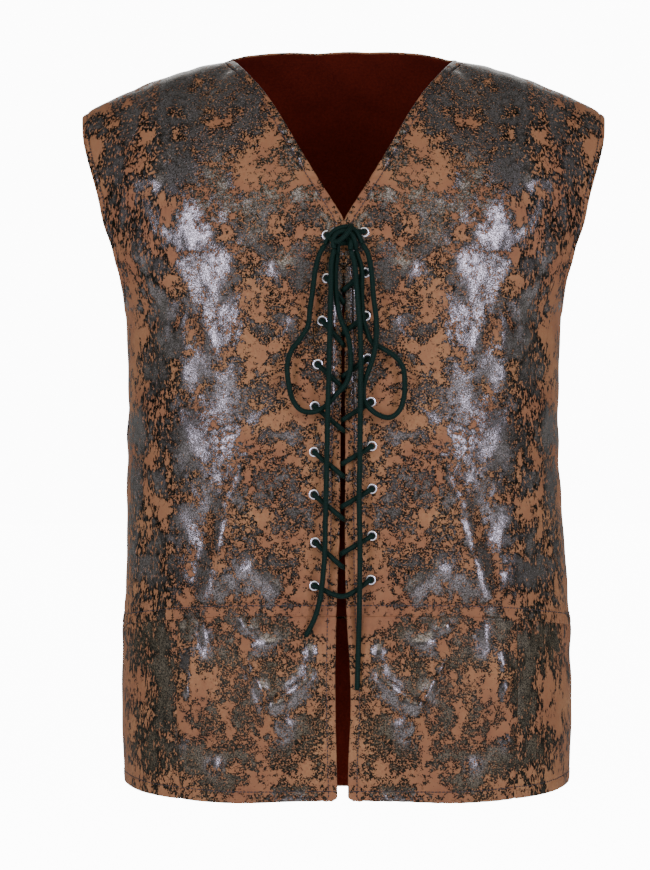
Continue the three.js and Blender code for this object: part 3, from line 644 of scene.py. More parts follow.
# Relief of the cloth
def soft_wave(x, z):
    """Slow unevenness of cloth that has been worn, about a millimetre."""
    return (
        0.9 * np.sin(x / 19 + 1.3 * np.sin(z / 37)) * np.sin(z / 31 + 0.7)
        + 0.45 * np.sin(x / 9 + z / 13 + 2.1 * np.sin(z / 29))
        + 0.22 * np.sin(x / 5.1 - z / 7.3 + 1.7 * np.sin(x / 23))
    )


def edge_relief(away, stitch_in):
    """A turned edge: raised as far as its stitches, drawn in where they are."""
    turned = EDGE_HEIGHT / (1 + np.exp(np.minimum(50, (away - stitch_in) / EDGE_SOFTNESS)))
    drawn = DRAWN_DEPTH * np.exp(-(((away - stitch_in) / DRAWN_WIDTH) ** 2))
    return turned - drawn


def puckers(along, away, stitch_in, pitch, reach, height):
    """Small gathers that the stitches draw up, fading away from them."""
    wander = along + 2.3 * np.sin(along / 19.0) + 1.4 * np.sin(along / 7.3 + 1.0)
    strength = height * (0.65 + 0.35 * np.sin(along / 31.0 + 0.6))
    fading = np.exp(-(((away - stitch_in) / reach) ** 2))
    return strength * np.sin(2 * np.pi * wander / pitch) * fading


def sway(x, z):
    """The whole vest hangs a little to its left below the chest: millimetres along x."""
    lower = np.clip((SWAY_START - z) / SWAY_REACH, 0, 1)
    outer = np.clip(np.abs(x) / SWAY_FULL_X, 0, 1)
    return SWAY * lower**2 * (3 - 2 * lower) * outer


def creased(grid, relief, turn):
    """The cloth with its relief: turn is 0 where the front's creases lie and 1 where the back's do."""
    x = grid[..., 0]
    z = grid[..., 2]
    front = fold_height(FRONT_CREASES, x, z) + bulge_height(x, z) + soft_wave(np.abs(x), z)
    back = fold_height(BACK_CREASES, x, z) + soft_wave(x, z)
    height = mix(front, back, turn) + relief
    moved = grid + grid_normals(grid) * height[..., None]
    moved[..., 0] += sway(x, z)
    return moved


def spread_points(row, columns, crowding):
    """Points set along a row at even steps, closer towards its two ends."""
    t = np.linspace(0, 1, columns + 1)
    t = t - crowding * np.sin(2 * np.pi * t) / (2 * np.pi)
    run = run_along(row)
    at = EDGE_INSET + t * (run[-1] - 2 * EDGE_INSET)
    return points_at(at, run, row)


def drawn_in(lines):
    """A grid of the rows, with its first and last moved in by as much as the round rim adds."""
    grid = np.stack(lines)
    for line, beside in ((0, 1), (-1, -2)):
        step = grid[beside] - grid[line]
        length = np.linalg.norm(step, axis=-1, keepdims=True)
        grid[line] += step * EDGE_INSET / np.maximum(1e-9, length)
    return grid


def row_shares(below, above):
    return np.concatenate([np.linspace(-1, 0, below + 1), np.linspace(0, 1, above + 1)[1:]])


def waist_relief(along, up):
    gathers = puckers(along, up, stitch_in=5, pitch=11, reach=8, height=0.4)
    return edge_relief(up, WAIST_STITCH_UP) * SEAM_SHARE + gathers


def front_grid(side, columns=150, below=130, above=108):
    shares = row_shares(below, above)
    tip = (UNDERARM_Z + NECK_DEPTH) / UNDERARM_Z
    shares[np.argmin(np.abs(shares - tip))] = tip
    grid = drawn_in([spread_points(front_row(side, share), columns, crowding=0.35) for share in shares])
    if side < 0:
        grid = grid[:, ::-1]
    centre = distances(grid, 1, from_end=side < 0)
    outer = distances(grid, 1, from_end=side > 0)
    bottom = distances(grid, 0)
    armhole = np.where(shares >= 0, 1.0, 0.0)[:, None]
    relief = edge_relief(centre, EDGE_STITCH_IN) + waist_relief(centre, bottom)
    gathers = puckers(bottom, centre, stitch_in=3, pitch=11.5, reach=4.5, height=0.45)
    relief += gathers * mix(GATHERED_BELOW, GATHERED_ABOVE, armhole)
    relief += armhole * edge_relief(outer, ARMHOLE_STITCH_IN) * SEAM_SHARE
    relief += armhole * puckers(bottom, outer, stitch_in=2.5, pitch=9.7, reach=4, height=0.2)
    return creased(grid, relief, 0)


def back_grid(columns=220, below=110, above=96):
    shares = row_shares(below, above)
    grid = drawn_in([spread_points(back_row(share), columns, crowding=0.3) for share in shares])
    left = distances(grid, 1)
    side = np.minimum(left, distances(grid, 1, from_end=True))
    armhole = np.where(shares >= 0, 1.0, 0.0)[:, None]
    neck = np.abs(grid[-1, :, 0]) < NECK_HALF_WIDTH
    relief = waist_relief(left, distances(grid, 0))
    relief += armhole * edge_relief(side, ARMHOLE_STITCH_IN) * SEAM_SHARE
    relief += neck * edge_relief(distances(grid, 0, from_end=True), EDGE_STITCH_IN)
    return creased(grid, relief, 1)


SKIRT_SEAM_ANGLE = math.asin((SKIRT_SEAM_X / UNDERARM_X) ** (PLAN_POWER / 2))


def skirt_relief(grid):
    bottom = distances(grid, 0)
    top = distances(grid, 0, from_end=True)
    left = distances(grid, 1)
    relief = edge_relief(bottom, HEM_STITCH_IN) * SEAM_SHARE
    relief += puckers(left, bottom, stitch_in=5, pitch=13, reach=8, height=0.35)
    relief += puckers(left, top, stitch_in=3, pitch=12, reach=11, height=0.7)
    return relief


def skirt_front_grid(side, columns=76, rows=76):
    lines = []
    for up in np.linspace(0, 1, rows + 1):
        z = mix(FRONT_HEM, WAIST_FRONT, up)
        edge_x = float(read_table(FRONT_EDGES, "z", "left" if side > 0 else "right", z))
        corner = max(0.0, 1 - up * (WAIST_FRONT - FRONT_HEM) / SKIRT_CORNER)
        edge_x += side * SKIRT_CORNER_IN * (1 - math.sqrt(1 - corner**2))
        angles = np.linspace(float(angle_of(edge_x, z)), side * SKIRT_SEAM_ANGLE, ROW_SAMPLES)
        lines.append(spread_points(skirt_row(angles[::side], up), columns, crowding=0.3))
    grid = drawn_in(lines)
    centre = distances(grid, 1, from_end=side < 0)
    seam = distances(grid, 1, from_end=side > 0)
    bottom = distances(grid, 0)
    relief = skirt_relief(grid) + edge_relief(centre, EDGE_STITCH_IN)
    relief += puckers(bottom, centre, stitch_in=3.5, pitch=9, reach=4.5, height=0.3)
    relief += puckers(bottom, seam, stitch_in=0, pitch=16, reach=6, height=0.35)
    return creased(grid, relief, 0)


def skirt_back_grid(columns=300, rows=76):
    angles = np.linspace(SKIRT_SEAM_ANGLE, 2 * math.pi - SKIRT_SEAM_ANGLE, 4 * ROW_SAMPLES)
    ups = np.linspace(0, 1, rows + 1)
    grid = drawn_in([spread_points(skirt_row(angles, up), columns, crowding=0.2) for up in ups])
    turn = np.clip(grid[..., 1] / SIDE_BLEND + 0.5, 0, 1)
    return creased(grid, skirt_relief(grid), turn)


# Materials
def linear(hex_colour):
    channels = [int(hex_colour[i:i + 2], 16) / 255 for i in (1, 3, 5)]
    return [c / 12.92 if c <= 0.04045 else ((c + 0.055) / 1.055) ** 2.4 for c in channels] + [1.0]


def per_metre(size_mm):
    return 1000 / size_mm


def new_material(name):
    material = bpy.data.materials.new(name)
    material.use_nodes = True
    tree = material.node_tree
    return material, tree, tree.nodes["Principled BSDF"]


def add_node(tree, kind, inputs=None, output=None, **settings):
    """Adds a node with its settings, values, colours and links, and gives one of its outputs."""
    added = tree.nodes.new("ShaderNode" + kind)
    for name, value in settings.items():
        setattr(added, name, value)
    for key, value in (inputs or {}).items():
        named = [socket for socket in added.inputs if socket.name == key and socket.enabled]
        socket = named[0] if named else added.inputs[key]
        if isinstance(value, bpy.types.NodeSocket):
            tree.links.new(value, socket)
        else:
            socket.default_value = linear(value) if isinstance(value, str) else value
    return added.outputs[output] if output else next(out for out in added.outputs if out.enabled)


def finish_material(tree, shader, links, **values):
    for name, link in links.items():
        tree.links.new(link, shader.inputs[name])
    for name, value in values.items():
        shader.inputs[name.replace("_", " ")].default_value = value


# Patterns of the leather, each with its size in millimetres. The side ones are drawn out upright.
# The pits and the grain are a little coarser than real, so that they still break up the highlights
# at this distance.
LEATHER_PATTERNS = table(
    "name size detail roughness distortion upright",
    ("blotch", 24, 3, 0.6, 0.6, False),
    ("streak", 7, 3, 0.7, 0.3, False),
    ("side_streak", 9, 3, 0.7, 0.3, True),
    ("crumb", 1.5, 2, 0.6, 0.3, False),
    ("side_crumb", 1.9, 2, 0.6, 0.3, True),
    ("wear", 55, 4, 0.65, 0, False),
    ("dust", 3, 3, 0.7, 0, False),
    ("pits", 1.1, 2, 0.7, 0.3, False),
    ("grain", 1.3, 2, 0.6, 0, False),
    ("crinkle", 13, 2, 0.5, 0.5, False),
)


def coated_leather():
    """Split leather under a thin sprayed coat that has cracked: matt brown shows through in crumbs,
    the coat left on it is dark, smooth and glossy, so it alone carries the broken highlights."""
    material, tree, shader = new_material("crackle_coated_brown_leather")
    place = add_node(tree, "Attribute", output="Vector", attribute_name="cloth_place")
    cover = add_node(tree, "Attribute", output="Fac", attribute_name="coat_cover")
    smooth = add_node(tree, "Attribute", output="Fac", attribute_name="coat_gloss")
    side = add_node(tree, "Attribute", output="Fac", attribute_name="cloth_side")
    upright = add_node(tree, "VectorMath", {0: place, 1: (1, 1, UPRIGHT_SQUEEZE)}, operation="MULTIPLY")
    noise = {}
    for pattern in LEATHER_PATTERNS:
        noise[pattern.name] = add_node(tree, "TexNoise", {
            "Vector": upright if pattern.upright else place, "Scale": per_metre(pattern.size),
            "Detail": pattern.detail, "Roughness": pattern.roughness, "Distortion": pattern.distortion,
        })

    # How whole the coat is: the listed patches, then blotches, streaks and crumbs of it
    streak = add_node(tree, "Mix", {"Factor": side, "A": noise["streak"], "B": noise["side_streak"]})
    crumb = add_node(tree, "Mix", {"Factor": side, "A": noise["crumb"], "B": noise["side_crumb"]})
    crack = add_node(tree, "Math", {0: crumb, 1: 0.5}, operation="SUBTRACT")
    crack = add_node(tree, "Math", {0: crack}, operation="ABSOLUTE")
    whole = add_node(tree, "Math", {0: cover, 1: COAT_SHARE}, operation="MULTIPLY")
    for pattern, strength in ((noise["blotch"], COAT_BLOTCH), (streak, COAT_STREAK)):
        whole = add_node(tree, "Math", {0: pattern, 1: strength, 2: whole}, operation="MULTIPLY_ADD")
    broken = whole
    for pattern, strength in ((crumb, COAT_CRUMB), (crack, -COAT_CRACK)):
        broken = add_node(tree, "Math", {0: pattern, 1: strength, 2: broken}, operation="MULTIPLY_ADD")
    level = COAT_EDGE + (COAT_BLOTCH + COAT_STREAK) / 2
    crumb_level = level + COAT_CRUMB / 2 - COAT_CRACK * 0.1
    coat = add_node(tree, "MapRange", {
        "Value": broken, "From Min": crumb_level - COAT_SOFTNESS, "From Max": crumb_level + COAT_SOFTNESS,
    })
    wholeness = add_node(tree, "MapRange", {
        "Value": whole, "From Min": level - 0.1, "From Max": level + 0.4,
    })

    # Colours: worn brown, and a coat that is blackest where it is down to crumbs
    wear = add_node(tree, "MapRange", {"Value": noise["wear"], "From Min": 0.35, "From Max": 0.65})
    dust = add_node(tree, "MapRange", {"Value": noise["dust"], "From Min": 0.3, "From Max": 0.7})
    pits = add_node(tree, "MapRange", {"Value": noise["pits"], "From Min": 0.42, "From Max": 0.6})
    brown = add_node(tree, "Mix", {"Factor": wear, "A": "#6C452A", "B": "#8B673F"}, data_type="RGBA")
    brown = add_node(tree, "Mix", {"Factor": dust, "A": brown, "B": "#7D5230"}, data_type="RGBA")
    film = add_node(tree, "Mix", {"Factor": pits, "A": "#423F37", "B": "#85807A"}, data_type="RGBA")
    # Below the waist the coat is made duller and painted darker, but for the bulges: painted shade
    dull_skirt_painted_shade = add_node(tree, "Mix", {"Factor": pits, "A": "#24221A", "B": "#625B47"}, data_type="RGBA")
    film = add_node(tree, "Mix", {"Factor": smooth, "A": dull_skirt_painted_shade, "B": film}, data_type="RGBA")
    dark = add_node(tree, "Mix", {"Factor": wholeness, "A": "#14160F", "B": film}, data_type="RGBA")
    colour = add_node(tree, "Mix", {"Factor": coat, "A": brown, "B": dark}, data_type="RGBA")
    gloss = add_node(tree, "MapRange", {"Value": pits, "To Min": 0.3, "To Max": 0.2})
    gloss = add_node(tree, "Mix", {"Factor": smooth, "A": DULL_SKIRT_ROUGHNESS, "B": gloss})
    roughness = add_node(tree, "Mix", {"Factor": coat, "A": BARE_ROUGHNESS, "B": gloss})
    metallic = add_node(tree, "Math", {0: coat, 1: COAT_METALLIC}, operation="MULTIPLY")

    # Relief in millimetres: the coat stands 0.1 proud, with its grain and slow crinkles over it
    height = add_node(tree, "Math", {0: coat, 1: COAT_HEIGHT}, operation="MULTIPLY")
    for pattern, strength in ((noise["grain"], GRAIN_HEIGHT), (noise["crinkle"], CRINKLE_HEIGHT)):
        height = add_node(tree, "Math", {0: pattern, 1: strength, 2: height}, operation="MULTIPLY_ADD")
    bump = add_node(tree, "Bump", {"Strength": 1.0, "Distance": MM, "Height": height})
    finish_material(
        tree, shader,
        {"Base Color": colour, "Roughness": roughness, "Metallic": metallic, "Normal": bump},
        Specular_IOR_Level=0.3,
    )
    return material


def backing_cloth():
    """Napped polyester backing, dyed red-brown: it swallows light, so the inside is one dark tone."""
    material, tree, shader = new_material("dark_red_brown_napped_backing")
    place = add_node(tree, "TexCoord", output="Object")
    nap = add_node(tree, "TexNoise", {
        "Vector": place, "Scale": per_metre(2.2), "Detail": 3.0, "Roughness": 0.6,
    })
    shade = add_node(tree, "MapRange", {"Value": nap, "From Min": 0.3, "From Max": 0.7})
    colour = add_node(tree, "Mix", {"Factor": shade, "A": "#451004", "B": "#561706"}, data_type="RGBA")
    bump = add_node(tree, "Bump", {"Strength": 0.5, "Distance": 0.3 * MM, "Height": nap})
    finish_material(
        tree, shader, {"Base Color": colour, "Normal": bump}, Roughness=0.95, Specular_IOR_Level=0.1,
    )
    return material


def eyelet_metal():
    """Nickel-plated pressed brass: bright, with fine handling marks that soften its highlights."""
    material, tree, shader = new_material("nickel_plated_brass")
    place = add_node(tree, "TexCoord", output="Object")
    marks = add_node(tree, "TexNoise", {
        "Vector": place, "Scale": per_metre(0.9), "Detail": 3.0, "Roughness": 0.6,
    })
    colour = add_node(tree, "Mix", {"Factor": marks, "A": "#D6D6DA", "B": "#F4F4F6"}, data_type="RGBA")
    roughness = add_node(tree, "MapRange", {"Value": marks, "To Min": 0.14, "To Max": 0.32})
    finish_material(tree, shader, {"Base Color": colour, "Roughness": roughness}, Metallic=1.0)
    return material


def braided_lace():
    """Round plaited polyester lace, black with a green cast: its strands run round it both ways and
    catch small separate glints, with a soft edge from loose fibres."""
    material, tree, shader = new_material("black_green_plaited_polyester")
    uv = add_node(tree, "UVMap", uv_map="braid")
    place = add_node(tree, "SeparateXYZ", {"Vector": uv}).node.outputs
    length = {0: place["X"], 1: per_metre(PLAIT_PITCH) * 2 * math.pi}
    turn = {0: place["Y"], 1: PLAIT_STRANDS * 2 * math.pi}
    along = add_node(tree, "Math", length, operation="MULTIPLY")
    around = add_node(tree, "Math", turn, operation="MULTIPLY")
    ways = []
    for operation in ("ADD", "SUBTRACT"):
        way = add_node(tree, "Math", {0: along, 1: around}, operation=operation)
        ways.append(add_node(tree, "Math", {0: way}, operation="SINE"))
    plait = add_node(tree, "Math", {0: ways[0], 1: ways[1]}, operation="MULTIPLY")
    shade = add_node(tree, "MapRange", {"Value": plait, "From Min": -1.0, "From Max": 1.0})
    # The plait's colour is painted lighter on each strand's crest and darker in the grooves, on the
    # bump's own height: painted shade
    colour = add_node(tree, "Mix", {"Factor": shade, "A": "#000302", "B": "#07271B"}, data_type="RGBA")
    bump = add_node(tree, "Bump", {"Strength": 0.9, "Distance": 0.35 * MM, "Height": shade})
    finish_material(
        tree, shader, {"Base Color": colour, "Normal": bump},
        Roughness=0.6, Specular_IOR_Level=0.1, Sheen_Weight=0.01,
    )
    return material


def sewing_thread():
    """Twisted polyester thread, near black, with a faint shine on each turn."""
    material, tree, shader = new_material("dark_brown_polyester_thread")
    place = add_node(tree, "TexCoord", output="Object")
    twist = add_node(tree, "TexNoise", {"Vector": place, "Scale": per_metre(0.8), "Detail": 1.0})
    colour = add_node(tree, "Mix", {"Factor": twist, "A": "#0E0B09", "B": "#221A14"}, data_type="RGBA")
    finish_material(tree, shader, {"Base Color": colour}, Roughness=0.5)
    return material


LEATHER = coated_leather()
BACKING = backing_cloth()
METAL = eyelet_metal()
LACE = braided_lace()
THREAD = sewing_thread()


# Panels, each with its flat cut in metres, and where it reads the leather's pattern
Panel = namedtuple("Panel", "grid width length area mirrored shift")
PANELS = {
    "front_right": Panel(front_grid(-1), 0.30, 0.60, 0.125, True, 0),
    "front_left": Panel(front_grid(1), 0.30, 0.60, 0.125, True, 0),
    "back": Panel(back_grid(), 0.56, 0.62, 0.29, False, 1),
    "skirt_front_right": Panel(skirt_front_grid(-1), 0.17, 0.17, 0.027, True, 0),
    "skirt_front_left": Panel(skirt_front_grid(1), 0.17, 0.17, 0.027, True, 0),
    "skirt_back": Panel(skirt_back_grid(), 0.83, 0.16, 0.125, False, 2),
}
for name, panel in PANELS.items():
    cloth = cloth_piece("cloth_" + name, panel)
    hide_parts(name)


# Eyelets
Seat = namedtuple("Seat", "point normal")


def seat_at(x, z):
    """A place on the front and the way it faces, from the depth a little to each side of it."""
    step = 2.0
    across = (body_depth("front", x + step, z) - body_depth("front", x - step, z)) / (2 * step)
    up = (body_depth("front", x, z + step) - body_depth("front", x, z - step)) / (2 * step)
    return Seat(in_front(x, z, 0), Vector((-float(across), -1, -float(up))).normalized())


SEATS = {
    "right": [seat_at(row.x_right, row.z_right) for row in EYELET_ROWS],
    "left": [seat_at(row.x_left, row.z_left) for row in EYELET_ROWS],
}


def deselect():
    bpy.ops.object.select_all(action="DESELECT")


def lone(piece):
    deselect()
    piece.select_set(True)
    bpy.context.view_layer.objects.active = piece


def model_eyelet():
    """One pressed eyelet round the Z axis: rolled flange, barrel and the flared tail behind."""
    deselect()
    bpy.ops.mesh.primitive_torus_add(
        major_segments=36, minor_segments=12, major_radius=RING_RADIUS * MM,
        minor_radius=RING_ROLL * MM, location=(0, 0, RING_LIFT * MM),
    )
    rim = bpy.context.active_object
    bpy.ops.object.mode_set(mode="EDIT")
    bpy.ops.mesh.select_all(action="SELECT")
    bpy.ops.transform.resize(value=(1, 1, RING_FLATTENED))
    bpy.ops.object.mode_set(mode="OBJECT")
    deselect()
    bpy.ops.mesh.primitive_cylinder_add(
        vertices=36, radius=BARREL_RADIUS * MM, depth=BARREL_LENGTH * MM,
        end_fill_type="NOTHING", location=(0, 0, -BARREL_DROP * MM),
    )
    barrel = bpy.context.active_object
    bpy.ops.object.mode_set(mode="EDIT")
    bpy.ops.mesh.select_mode(type="EDGE")
    bpy.ops.mesh.select_all(action="DESELECT")
    bpy.ops.object.mode_set(mode="OBJECT")
    for edge in barrel.data.edges:
        edge.select = all(barrel.data.vertices[v].co.z < 0 for v in edge.vertices)
    for vertex in barrel.data.vertices:
        vertex.select = vertex.co.z < 0
    bpy.ops.object.mode_set(mode="EDIT")
    bpy.ops.mesh.extrude_region_move(TRANSFORM_OT_translate={"value": (0, 0, -TAIL_STEP * MM)})
    bpy.ops.transform.resize(value=(TAIL_FLARE, TAIL_FLARE, 1))
    bpy.ops.object.mode_set(mode="OBJECT")
    wall = barrel.modifiers.new("metal", "SOLIDIFY")
    wall.thickness = BARREL_WALL * MM
    wall.offset = -1
    bpy.ops.object.modifier_apply(modifier="metal")
    rim.select_set(True)
    bpy.context.view_layer.objects.active = rim
    barrel.select_set(True)
    bpy.ops.object.join()
    lone(rim)
    bpy.ops.object.transform_apply(location=True, rotation=True, scale=True)
    bpy.ops.object.shade_smooth_by_angle(angle=math.radians(50))
    return rim


eyelet_model = model_eyelet()
for side, seats in SEATS.items():
    for row, seat in enumerate(seats, start=1):
        mesh = eyelet_model.data.copy()
        turn = Vector((0, 0, 1)).rotation_difference(seat.normal).to_matrix().to_4x4()
        mesh.transform(Matrix.Translation(seat.point * MM) @ turn)
        ring = link(f"ring_{side}_{row}", mesh)
        ring.data.materials.clear()
        ring.data.materials.append(METAL)
        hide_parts(f"eyelet_{side}_{row}")
bpy.data.objects.remove(eyelet_model)


# Lace routes
def bend(start, into, along):
    turns = (0, math.pi / 4, math.pi / 2)
    return [start + BEND_RADIUS * (into * math.sin(t) + along * (1 - math.cos(t))) for t in turns]


def heading(start, end, normal):
    way = end - start
    return (way - normal * way.dot(normal)).normalized()


def out_of_eyelet(seat, target):
    start = seat.point + seat.normal * FRONT_BEND_START
    return bend(start, seat.normal, heading(seat.point, target, seat.normal))


def into_eyelet(seat, source):
    start = seat.point - seat.normal * BACK_BEND_START
    return bend(start, -seat.normal, heading(seat.point, source, seat.normal))[::-1]


def crossing(start, end, drop):
    z = start.point.z - drop
    gap = in_front(float(read_table(PARTING, "z", "x", z)), z, 0)
    outward = Vector((0, -1, 0))
    over = gap + outward * FRONT_BEND_START
    under = gap - outward * BACK_BEND_START
    return [
        *out_of_eyelet(start, gap),
        *bend(over, outward, heading(gap, start.point, outward))[::-1],
        *bend(under, -outward, heading(gap, end.point, outward)),
        *into_eyelet(end, gap),
    ]


def first_crossing(start, end, extra_depth):
    middle = (start.point + end.point) / 2
    middle.y += BACK_BEND_START + BEND_RADIUS + extra_depth
    under = start.point - start.normal * BACK_BEND_START
    return [
        start.point + start.normal * FRONT_BEND_START,
        *bend(under, -start.normal, heading(start.point, end.point, start.normal)),
        middle,
        *into_eyelet(end, start.point),
    ]


def knot_entry(seat, side):
    start = seat.point + seat.normal * FRONT_BEND_START
    places = bend(start, seat.normal, Vector((-side, 0, 0)))[::-1]
    x = KNOT_X + side * KNOT_HALF_WIDTH
    return [in_front(x, seat.point.z, FRONT_BEND_START + BEND_RADIUS), *places[:-1]]


def strand(near, far, side, extra_depth):
    """Half of the lacing, from the knot to the last eyelet, crossing over at every row."""
    points = knot_entry(SEATS[near][0], side)
    points += first_crossing(SEATS[near][0], SEATS[far][1], extra_depth)
    for row in range(1, len(EYELET_ROWS) - 1):
        near, far = far, near
        points += crossing(SEATS[near][row], SEATS[far][row + 1], PASS_DROP[near])
    return points


def lacing_route():
    sag = in_front(SAG_X, SAG_Z, FRONT_BEND_START + BEND_RADIUS)
    return [
        *strand("right", "left", -1, 0.0),
        *out_of_eyelet(SEATS["right"][-1], sag),
        sag,
        *out_of_eyelet(SEATS["left"][-1], sag)[::-1],
        *strand("left", "right", 1, SECOND_STRAND_DEPTH)[::-1],
    ]


def smooth_route(points, step):
    """The centripetal curve through the route points, then stepped evenly."""
    points = [np.array(p, float) for p in points]
    first = 2 * points[0] - points[1]
    last = 2 * points[-1] - points[-2]
    points = [first, *points, last]
    dense = []
    for i in range(1, len(points) - 2):
        p0, p1, p2, p3 = points[i - 1:i + 3]
        t0 = 0.0
        t1 = t0 + np.linalg.norm(p1 - p0) ** 0.5
        t2 = t1 + np.linalg.norm(p2 - p1) ** 0.5
        t3 = t2 + np.linalg.norm(p3 - p2) ** 0.5
        for t in np.linspace(t1, t2, 12, endpoint=False):
            a1 = mix(p0, p1, (t - t0) / (t1 - t0))
            a2 = mix(p1, p2, (t - t1) / (t2 - t1))
            a3 = mix(p2, p3, (t - t2) / (t3 - t2))
            b1 = mix(a1, a2, (t - t0) / (t2 - t0))
            b2 = mix(a2, a3, (t - t1) / (t3 - t1))
            dense.append(mix(b1, b2, (t - t1) / (t2 - t1)))
    dense.append(points[-2])
    dense = np.array(dense)
    run = run_along(dense)
    count = max(4, int(run[-1] / step))
    at = np.linspace(0, run[-1], count + 1)
    return points_at(at, run, dense), run[-1]


def tube(name, route, sides=12, step=1.3):
    """The lace along a route, with a UV map for its plait: metres along it and the turn round it."""
    line, length = smooth_route(route, step)
    tangent = np.gradient(line, axis=0)
    tangent /= np.linalg.norm(tangent, axis=1, keepdims=True)
    normal = np.zeros_like(line)
    guess = np.cross(tangent[0], [0.3, 1, 0.2])
    normal[0] = guess / np.linalg.norm(guess)
    for i in range(1, len(line)):
        carried = normal[i - 1] - tangent[i] * (normal[i - 1] @ tangent[i])
        normal[i] = carried / np.linalg.norm(carried)
    binormal = np.cross(tangent, normal)
    radius = np.full((len(line), 1, 1), LACE_DIAMETER / 2)
    radius[[0, -1]] *= LACE_END_SHARE
    turns = (np.arange(sides) / sides * 2 * math.pi)[None, :, None]
    around = np.cos(turns) * normal[:, None, :] + np.sin(turns) * binormal[:, None, :]
    rings = line[:, None, :] + radius * around
    points = np.concatenate([rings.reshape(-1, 3), line[:1], line[-1:]])
    index = np.arange(len(line) * sides).reshape(len(line), sides)
    faces = grid_faces(closed(index.T).T).tolist()
    along = np.linspace(0, length, len(line)) * MM
    spots = np.meshgrid(along, np.arange(sides + 1) / sides, indexing="ij")
    spots = np.stack(spots, axis=-1).reshape(-1, 2)
    uvs = spots[grid_faces(np.arange(len(spots)).reshape(len(line), -1))].reshape(-1, 2).tolist()
    first = len(points) - 2
    last = len(points) - 1
    for k in range(sides):
        j = (k + 1) % sides
        faces.append([first, index[0, j], index[0, k]])
        faces.append([last, index[-1, k], index[-1, j]])
        uvs += [(0, 0)] * 3 + [(along[-1], 0)] * 3
    piece = mesh_piece(name, points, faces)
    layer = piece.data.uv_layers.new(name="braid")
    layer.data.foreach_set("uv", np.array(uvs).ravel())
    mesh = bmesh.new()
    mesh.from_mesh(piece.data)
    bmesh.ops.recalc_face_normals(mesh, faces=mesh.faces)
    mesh.to_mesh(piece.data)
    mesh.free()
    piece.data.materials.append(LACE)
    return piece, line, length


lacing_piece, _, _ = tube("lace_through_eyelets", lacing_route(), step=1.1)
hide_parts("lacing")


def free_lace(name, rows, node_name):
    route = [in_front(row.x, row.z, row.rise) for row in rows]
    piece, line, length = tube(name, route)
    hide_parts(node_name)
    [c * MM for c in route[0]]
    [list(p * MM) for p in line]


free_lace("bow_loop_right", LOOP_RIGHT, "lace_loop_right")
free_lace("bow_loop_left", LOOP_LEFT, "lace_loop_left")
free_lace("bow_end_right", END_RIGHT, "lace_end_right")
free_lace("bow_end_left", END_LEFT, "lace_end_left")

# The bow's knot: the crossing turns of the lace, drawn tight
KNOT_TURNS = [
    [(-17.5, -180, 8.9), (-14, -173.5, 9.5), (-9, -167.5, 10.5), (-1, -164, 11.5), (7, -165, 11.5),
     (12.5, -170.5, 10.5), (16.5, -179, 8.9)],
    [(-9.2, -184, 13.6), (-10, -177, 14), (-7, -170.5, 14.5), (0, -168, 15), (6.5, -170.5, 14),
     (9.8, -177.5, 12), (10.4, -185, 8.9)],
    [(-6, -188, 8.9), (-5.5, -181, 9), (-3, -174.5, 9), (2, -172.5, 10), (5.5, -177, 12),
     (6, -185, 13.6)],
    [(-11, -169, 5), (-12.5, -174, 11), (-7, -177.5, 16), (0, -173, 19), (5, -166.5, 17),
     (6.5, -163, 11), (5, -162.5, 5)],
    [(-13.5, -171.5, 4.6), (-5, -174, 6), (4, -175, 6), (15, -169.5, 4.6)],
    [(-8, -180, 7), (-3, -178.5, 7), (4, -178.5, 7), (9, -180, 7)],
    [(-10, -171, 4.6), (-3, -168.5, 5.5), (3, -169.5, 5.5), (9, -172, 4.6)],
]


def knot_piece():
    turns = []
    for index, places in enumerate(KNOT_TURNS):
        route = [in_front(x, z, rise) for x, z, rise in places]
        turns.append(tube(f"knot_turn_{index}", route, step=0.9)[0])
    lone(turns[0])
    for turn in turns[1:]:
        turn.select_set(True)
    bpy.ops.object.join()
    knot = bpy.context.active_object
    knot.name = "bow_knot"
    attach(knot, "root")
    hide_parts("lace_knot")


knot_piece()


# Sewing
def model_stitch():
    """One stitch lying along X: a thread that dips into the cloth at both ends."""
    deselect()
    bpy.ops.mesh.primitive_cylinder_add(
        vertices=6, radius=STITCH_RADIUS * MM, depth=STITCH_LENGTH * MM,
        rotation=(0, math.pi / 2, 0), end_fill_type="TRIFAN",
    )
    stitch = bpy.context.active_object
    bpy.ops.object.transform_apply(location=True, rotation=True, scale=True)
    bpy.ops.object.mode_set(mode="EDIT")
    for end in (1, -1):
        x = end * STITCH_LENGTH * STITCH_FLAT_SHARE * MM
        bpy.ops.mesh.select_all(action="SELECT")
        bpy.ops.mesh.bisect(plane_co=(x, 0, 0), plane_no=(1, 0, 0))
    bpy.ops.object.mode_set(mode="OBJECT")
    for vertex in stitch.data.vertices:
        if abs(vertex.co.x) > STITCH_LENGTH * STITCH_END_SHARE * MM:
            vertex.co.z -= STITCH_END_DIP * MM
            vertex.co.y *= STITCH_END_WIDTH
    return stitch


stitch_model = model_stitch()
STITCH_POINTS = np.array([v.co[:] for v in stitch_model.data.vertices]) / MM
STITCH_FACES = [list(p.vertices) for p in stitch_model.data.polygons]
bpy.data.objects.remove(stitch_model)


def stitch_line(line, normals):
    """Stitches set evenly along a line of points on the cloth."""
    run = run_along(line)
    count = int(run[-1] / STITCH_PITCH)
    places = []
    for k in range(count):
        at = (k + 0.5) * run[-1] / count
        along = points_at(at + 1, run, line) - points_at(at - 1, run, line)
        along /= max(1e-9, np.linalg.norm(along))
        normal = points_at(at, run, normals)
        normal -= along * (normal @ along)
        normal /= np.linalg.norm(normal)
        basis = np.stack([along, np.cross(normal, along), normal])
        places.append(STITCH_POINTS @ basis + points_at(at, run, line) + normal * STITCH_LIFT)
    return places


